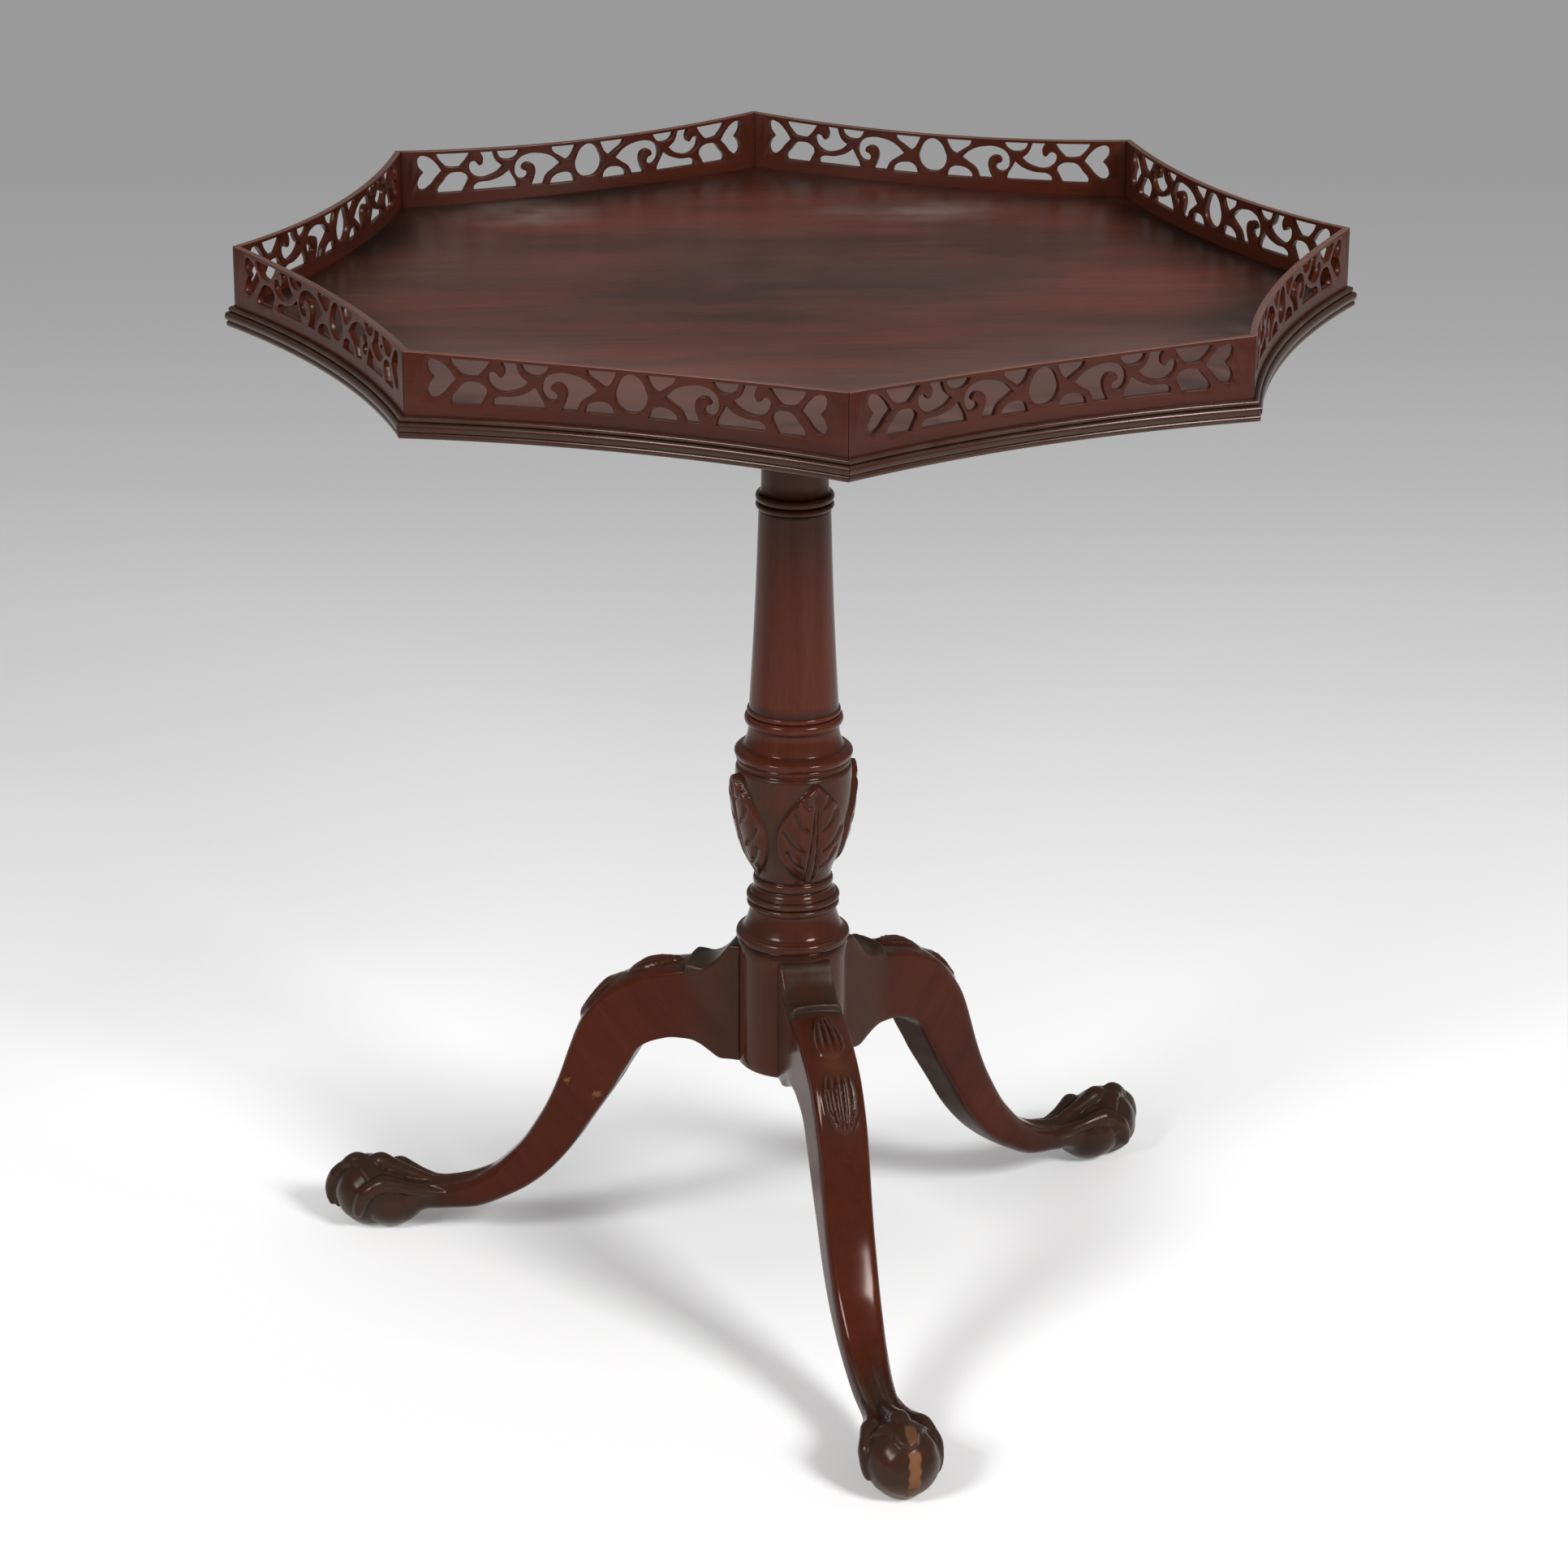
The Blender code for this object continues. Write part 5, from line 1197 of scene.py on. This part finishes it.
def split_toe(reach, across, height):
    """The strip where the front foot's middle toe is split off, and the bare wood it leaves."""
    middle = 2.2 + 0.05 * (height - 25) + 0.5 * np.sin(0.8 * height)
    strip = smooth(4.2, 3.2, np.abs(across - middle)) * smooth(307, 310, reach) * smooth(3, 6, height)
    gaps = smooth(36, 37.4, height) * smooth(43, 41.4, height)
    gaps = gaps + smooth(12.4, 13, height) * smooth(15, 14.2, height)
    fading = (1 - 0.45 * smooth(40, 43, height)) * (0.6 + 0.4 * smooth(10, 16, height))
    rubbed = 0.3 * smooth(18, 8, height) * smooth(300, 312, reach)
    return strip, np.maximum(strip * (1 - 0.9 * gaps) * fading, rubbed)


def chipped(side, points):
    """The points of a leg with its damage, where bare wood shows, and a light patch on the knee."""
    reach, across, height = points.T
    moved = points.copy()
    # A faint light amber patch on top of the knee's swelling
    bare = 0.22 * np.exp(-((reach - 119) / 8) ** 2 - (across / 9) ** 2) * smooth(95, 105, height)
    if side == "front":
        strip, split = split_toe(reach, across, height)
        bare = np.maximum(bare, split)
        moved[:, 0] += 0.5 * strip
    if side == "left":
        for place, level, size in CHIPS:
            away = np.hypot((reach - place) * 0.6, (height - level) * 1.2)
            bare = np.maximum(bare, smooth(size, size * 0.6, away) * (across > 10))
    return moved, bare


class TEATABLE_OT_legs(bpy.types.Operator):
    """Carve the legs with their knees and clawed feet"""
    bl_idname = "teatable.legs"
    bl_label = "Carved legs"

    def execute(self, context):
        wood = mahogany("leg_wood", depth=0.9, streak=0.2, rubbing=0.5, gathering=0.9, smooth_level=0.09,
                        dull=0.2, gloss=0.19, warmth=WARM, dry_faces=True)
        whole = carved_leg([MIDDLE_TOE, CLAW_ROOT])
        broken = carved_leg([BROKEN_TOE])
        slant = np.array(Matrix.Rotation(math.radians(LEG_GRAIN), 3, "Y"))
        for index, (side, angle) in enumerate(LEGS):
            twin = copy_piece(broken if side == "front" else whole, "carved_leg_" + side)
            mark_edges(twin, 0.0008, 2)
            rest = points_of(twin)
            points, bare = chipped(side, rest / MM)
            under, beside = leg_faces(twin)
            store(twin, "bare", bare)
            # Old polish, and painted shade on the undersides
            store(twin, "old_polish_and_painted_shade", np.maximum(aged(rest / MM), 0.9 * under))
            store(twin, "dry", np.maximum(under, 0.6 * beside))
            store(twin, "grain", rest @ slant + (index * 0.7, 0, index * 0.3))
            move_points(twin, points * MM)
            twin.data.transform(Matrix.Rotation(math.radians(angle), 4, "Z"))
            finish_piece(twin, "pedestal", ["leg_" + side], [wood], 70)
        bpy.data.objects.remove(whole)
        bpy.data.objects.remove(broken)
        return {"FINISHED"}


def eased_copy(node, ease):
    """A copy of one of the model's pieces with its edges eased."""
    piece = place_new("eased_" + node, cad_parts[node].data.copy())
    piece.data.materials.clear()
    outward(piece)
    edit(piece)
    bpy.ops.mesh.dissolve_limited(angle_limit=math.radians(1))
    bpy.ops.object.mode_set(mode="OBJECT")
    apply_modifier(piece, "BEVEL", width=ease, segments=2, limit_method="ANGLE", angle_limit=math.radians(35))
    return piece


class TEATABLE_OT_tilting(bpy.types.Operator):
    """Finish the block, battens and wedges that carry the top"""
    bl_idname = "teatable.tilting"
    bl_label = "Block and battens"

    def execute(self, context):
        shades = colours()
        plain = [0.7 * value for value in shades.wood_mid]
        for node, body, turns, ease in BEARERS:
            piece = eased_copy(node, ease)
            store_even(piece, "edge", 0.5)
            along = [math.radians(turn) for turn in turns]
            wood = wood_material("bearer_" + node, shades.wood_light, plain, shades.wood_dark,
                                 smooth_level=0.4, dull=0.6, bump=0.06, along=along)
            finish_piece(piece, body, [node], [wood], 35)
        return {"FINISHED"}


class TEATABLE_OT_metalwork(bpy.types.Operator):
    """Finish the brass catch, the spider and the screws"""
    bl_idname = "teatable.metalwork"
    bl_label = "Brass and iron"

    def execute(self, context):
        shades = colours()
        brass = metal_material("aged_brass_finish", shades.brass, [0.3 * v for v in shades.brass], 0.3)
        iron = metal_material("blackened_iron_finish", shades.iron, RUST, 0.45)
        for name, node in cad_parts.items():
            if node.hide_render:
                continue
            metal = iron if name.startswith(("spider", "batten_screw")) else brass
            node.data.materials.clear()
            node.data.materials.append(metal)
        return {"FINISHED"}


def floor_ramp(tree, value, stops):
    """Grey levels along the floor."""
    node = tree.nodes.new("ShaderNodeValToRGB")
    feed(tree, node, {"Fac": value})
    band = node.color_ramp
    while len(band.elements) < len(stops):
        band.elements.new(0.5)
    for element, (position, level) in zip(band.elements, stops):
        element.position = position
        element.color = grey(level)
    return node.outputs["Color"]


def floor_material():
    """A pale floor that fades to grey behind the table, with a painted shadow under the top and painted light
    beside it.
    """
    material, tree, surface = blank_material("pale_floor")
    tree.nodes.remove(surface)
    place = object_place(tree)
    reach = ramp(tree, measured(tree, place, FLOOR_BACK), *FLOOR_SPAN)
    fade = floor_ramp(tree, reach, FLOOR_FADE)
    glow = floor_ramp(tree, reach, FLOOR_GLOW)
    across = calc(tree, "ABSOLUTE", measured(tree, place, FLOOR_ACROSS))
    # Painted light beside the table that lifts the shadows of the top
    painted_fill = mix(tree, 1.0, glow, floor_ramp(tree, reach, FLOOR_PAINTED_FILL), "ADD")
    glow = mix(tree, ramp(tree, across, 0.1, 0.72), glow, painted_fill)
    # Painted shadow: the floor's glow is taken away under the top
    under = near_spot(tree, place, (-0.03, 0.07, 0), (3, 5, 0), 1.05, 0.2)
    glow = mix(tree, times(tree, under, 0.85), glow, grey(0))
    # Painted light that lifts the top's shadow on the floor, left of the table
    clear = near_spot(tree, place, (-0.31, 0.38, 0), (4, 4, 0), 1.0, 0.2)
    glow = mix(tree, clear, glow, grey(0.06), "ADD")
    diffuse = add(tree, "BsdfDiffuse", {"Color": mix(tree, 1.0, fade, grey(0.95), "MULTIPLY")})[0]
    emission = add(tree, "Emission", {"Color": glow, "Strength": 1.0})[0]
    both = add(tree, "AddShader", {0: diffuse, 1: emission})[0]
    plain = add(tree, "BsdfDiffuse", {"Color": four(colours().floor)})[0]
    path = add(tree, "LightPath", {})
    seen = calc(tree, "MAXIMUM", path["Is Camera Ray"], path["Is Glossy Ray"])
    seen = calc(tree, "MAXIMUM", seen, path["Is Transmission Ray"])
    choice = add(tree, "MixShader", {0: seen, 1: plain, 2: both})[0]
    feed(tree, tree.nodes["Material Output"], {"Surface": choice})
    return material


def add_lamp(name, place, power):
    """A square soft box that looks at the table."""
    lamp = bpy.data.lights.new(name, "AREA")
    lamp.shape = "RECTANGLE"
    lamp.size = LAMP_WIDTH
    lamp.size_y = LAMP_WIDTH
    lamp.energy = power
    light = place_new(name, lamp)
    light.location = place
    light.rotation_euler = (Vector(LAMP_AIM) - Vector(place)).to_track_quat("-Z", "Y").to_euler()


def set_camera(scene):
    """A long lens from the front, looking down on the top."""
    forward = Vector(CAMERA_FORWARD).normalized()
    level = forward.cross(Vector((0, 0, 1))).normalized()
    right = (level + CAMERA_ROLL * level.cross(forward)).normalized()
    up = right.cross(forward)
    data = bpy.data.cameras.new("camera")
    data.sensor_width = CAMERA_SENSOR
    data.lens = CAMERA_LENS
    camera = place_new("camera", data)
    turn = Matrix((right, up, -forward)).transposed().to_4x4()
    camera.matrix_world = Matrix.Translation(CAMERA_PLACE) @ turn
    scene.camera = camera


class TEATABLE_OT_stage(bpy.types.Operator):
    """Set the floor, the soft studio light and the camera"""
    bl_idname = "teatable.stage"
    bl_label = "Studio"

    def execute(self, context):
        scene = context.scene
        scene.view_settings.view_transform = "Standard"
        deselect()
        bpy.ops.mesh.primitive_plane_add(size=FLOOR_WIDTH)
        floor = context.object
        floor.name = "studio_floor"
        floor.data.materials.append(floor_material())
        world = bpy.data.worlds.new("studio")
        scene.world = world
        world.use_nodes = True
        sky = world.node_tree.nodes["Background"]
        feed(world.node_tree, sky, {"Color": grey(1), "Strength": SKY_LIGHT})
        for name, place, power in LAMPS:
            add_lamp(name, place, power)
        set_camera(scene)
        return {"FINISHED"}


STEPS = (TEATABLE_OT_board, TEATABLE_OT_gallery, TEATABLE_OT_moulding, TEATABLE_OT_pillar, TEATABLE_OT_legs,
         TEATABLE_OT_tilting, TEATABLE_OT_metalwork, TEATABLE_OT_stage)


class TEATABLE_PT_panel(bpy.types.Panel):
    """Lists the steps that make the table"""
    bl_label = "Tea Table"
    bl_idname = "TEATABLE_PT_panel"
    bl_space_type = "VIEW_3D"
    bl_region_type = "UI"
    bl_category = "Tea Table"

    def draw(self, context):
        for step in STEPS:
            self.layout.operator(step.bl_idname)


CLASSES = (TeaTableSizes, TeaTableColours) + STEPS + (TEATABLE_PT_panel,)


def register():
    """Register the settings, steps and panel."""
    for item in CLASSES:
        bpy.utils.register_class(item)
    bpy.types.Scene.tea_sizes = PointerProperty(type=TeaTableSizes)
    bpy.types.Scene.tea_colours = PointerProperty(type=TeaTableColours)


def unregister():
    """Take the settings, steps and panel out again."""
    del bpy.types.Scene.tea_sizes
    del bpy.types.Scene.tea_colours
    for item in reversed(CLASSES):
        bpy.utils.unregister_class(item)


def main():
    """Make the table."""
    register()
    bpy.ops.teatable.board()
    bpy.ops.teatable.gallery()
    bpy.ops.teatable.moulding()
    bpy.ops.teatable.pillar()
    bpy.ops.teatable.legs()
    bpy.ops.teatable.tilting()
    bpy.ops.teatable.metalwork()
    bpy.ops.teatable.stage()


if __name__ == "__main__":
    main()
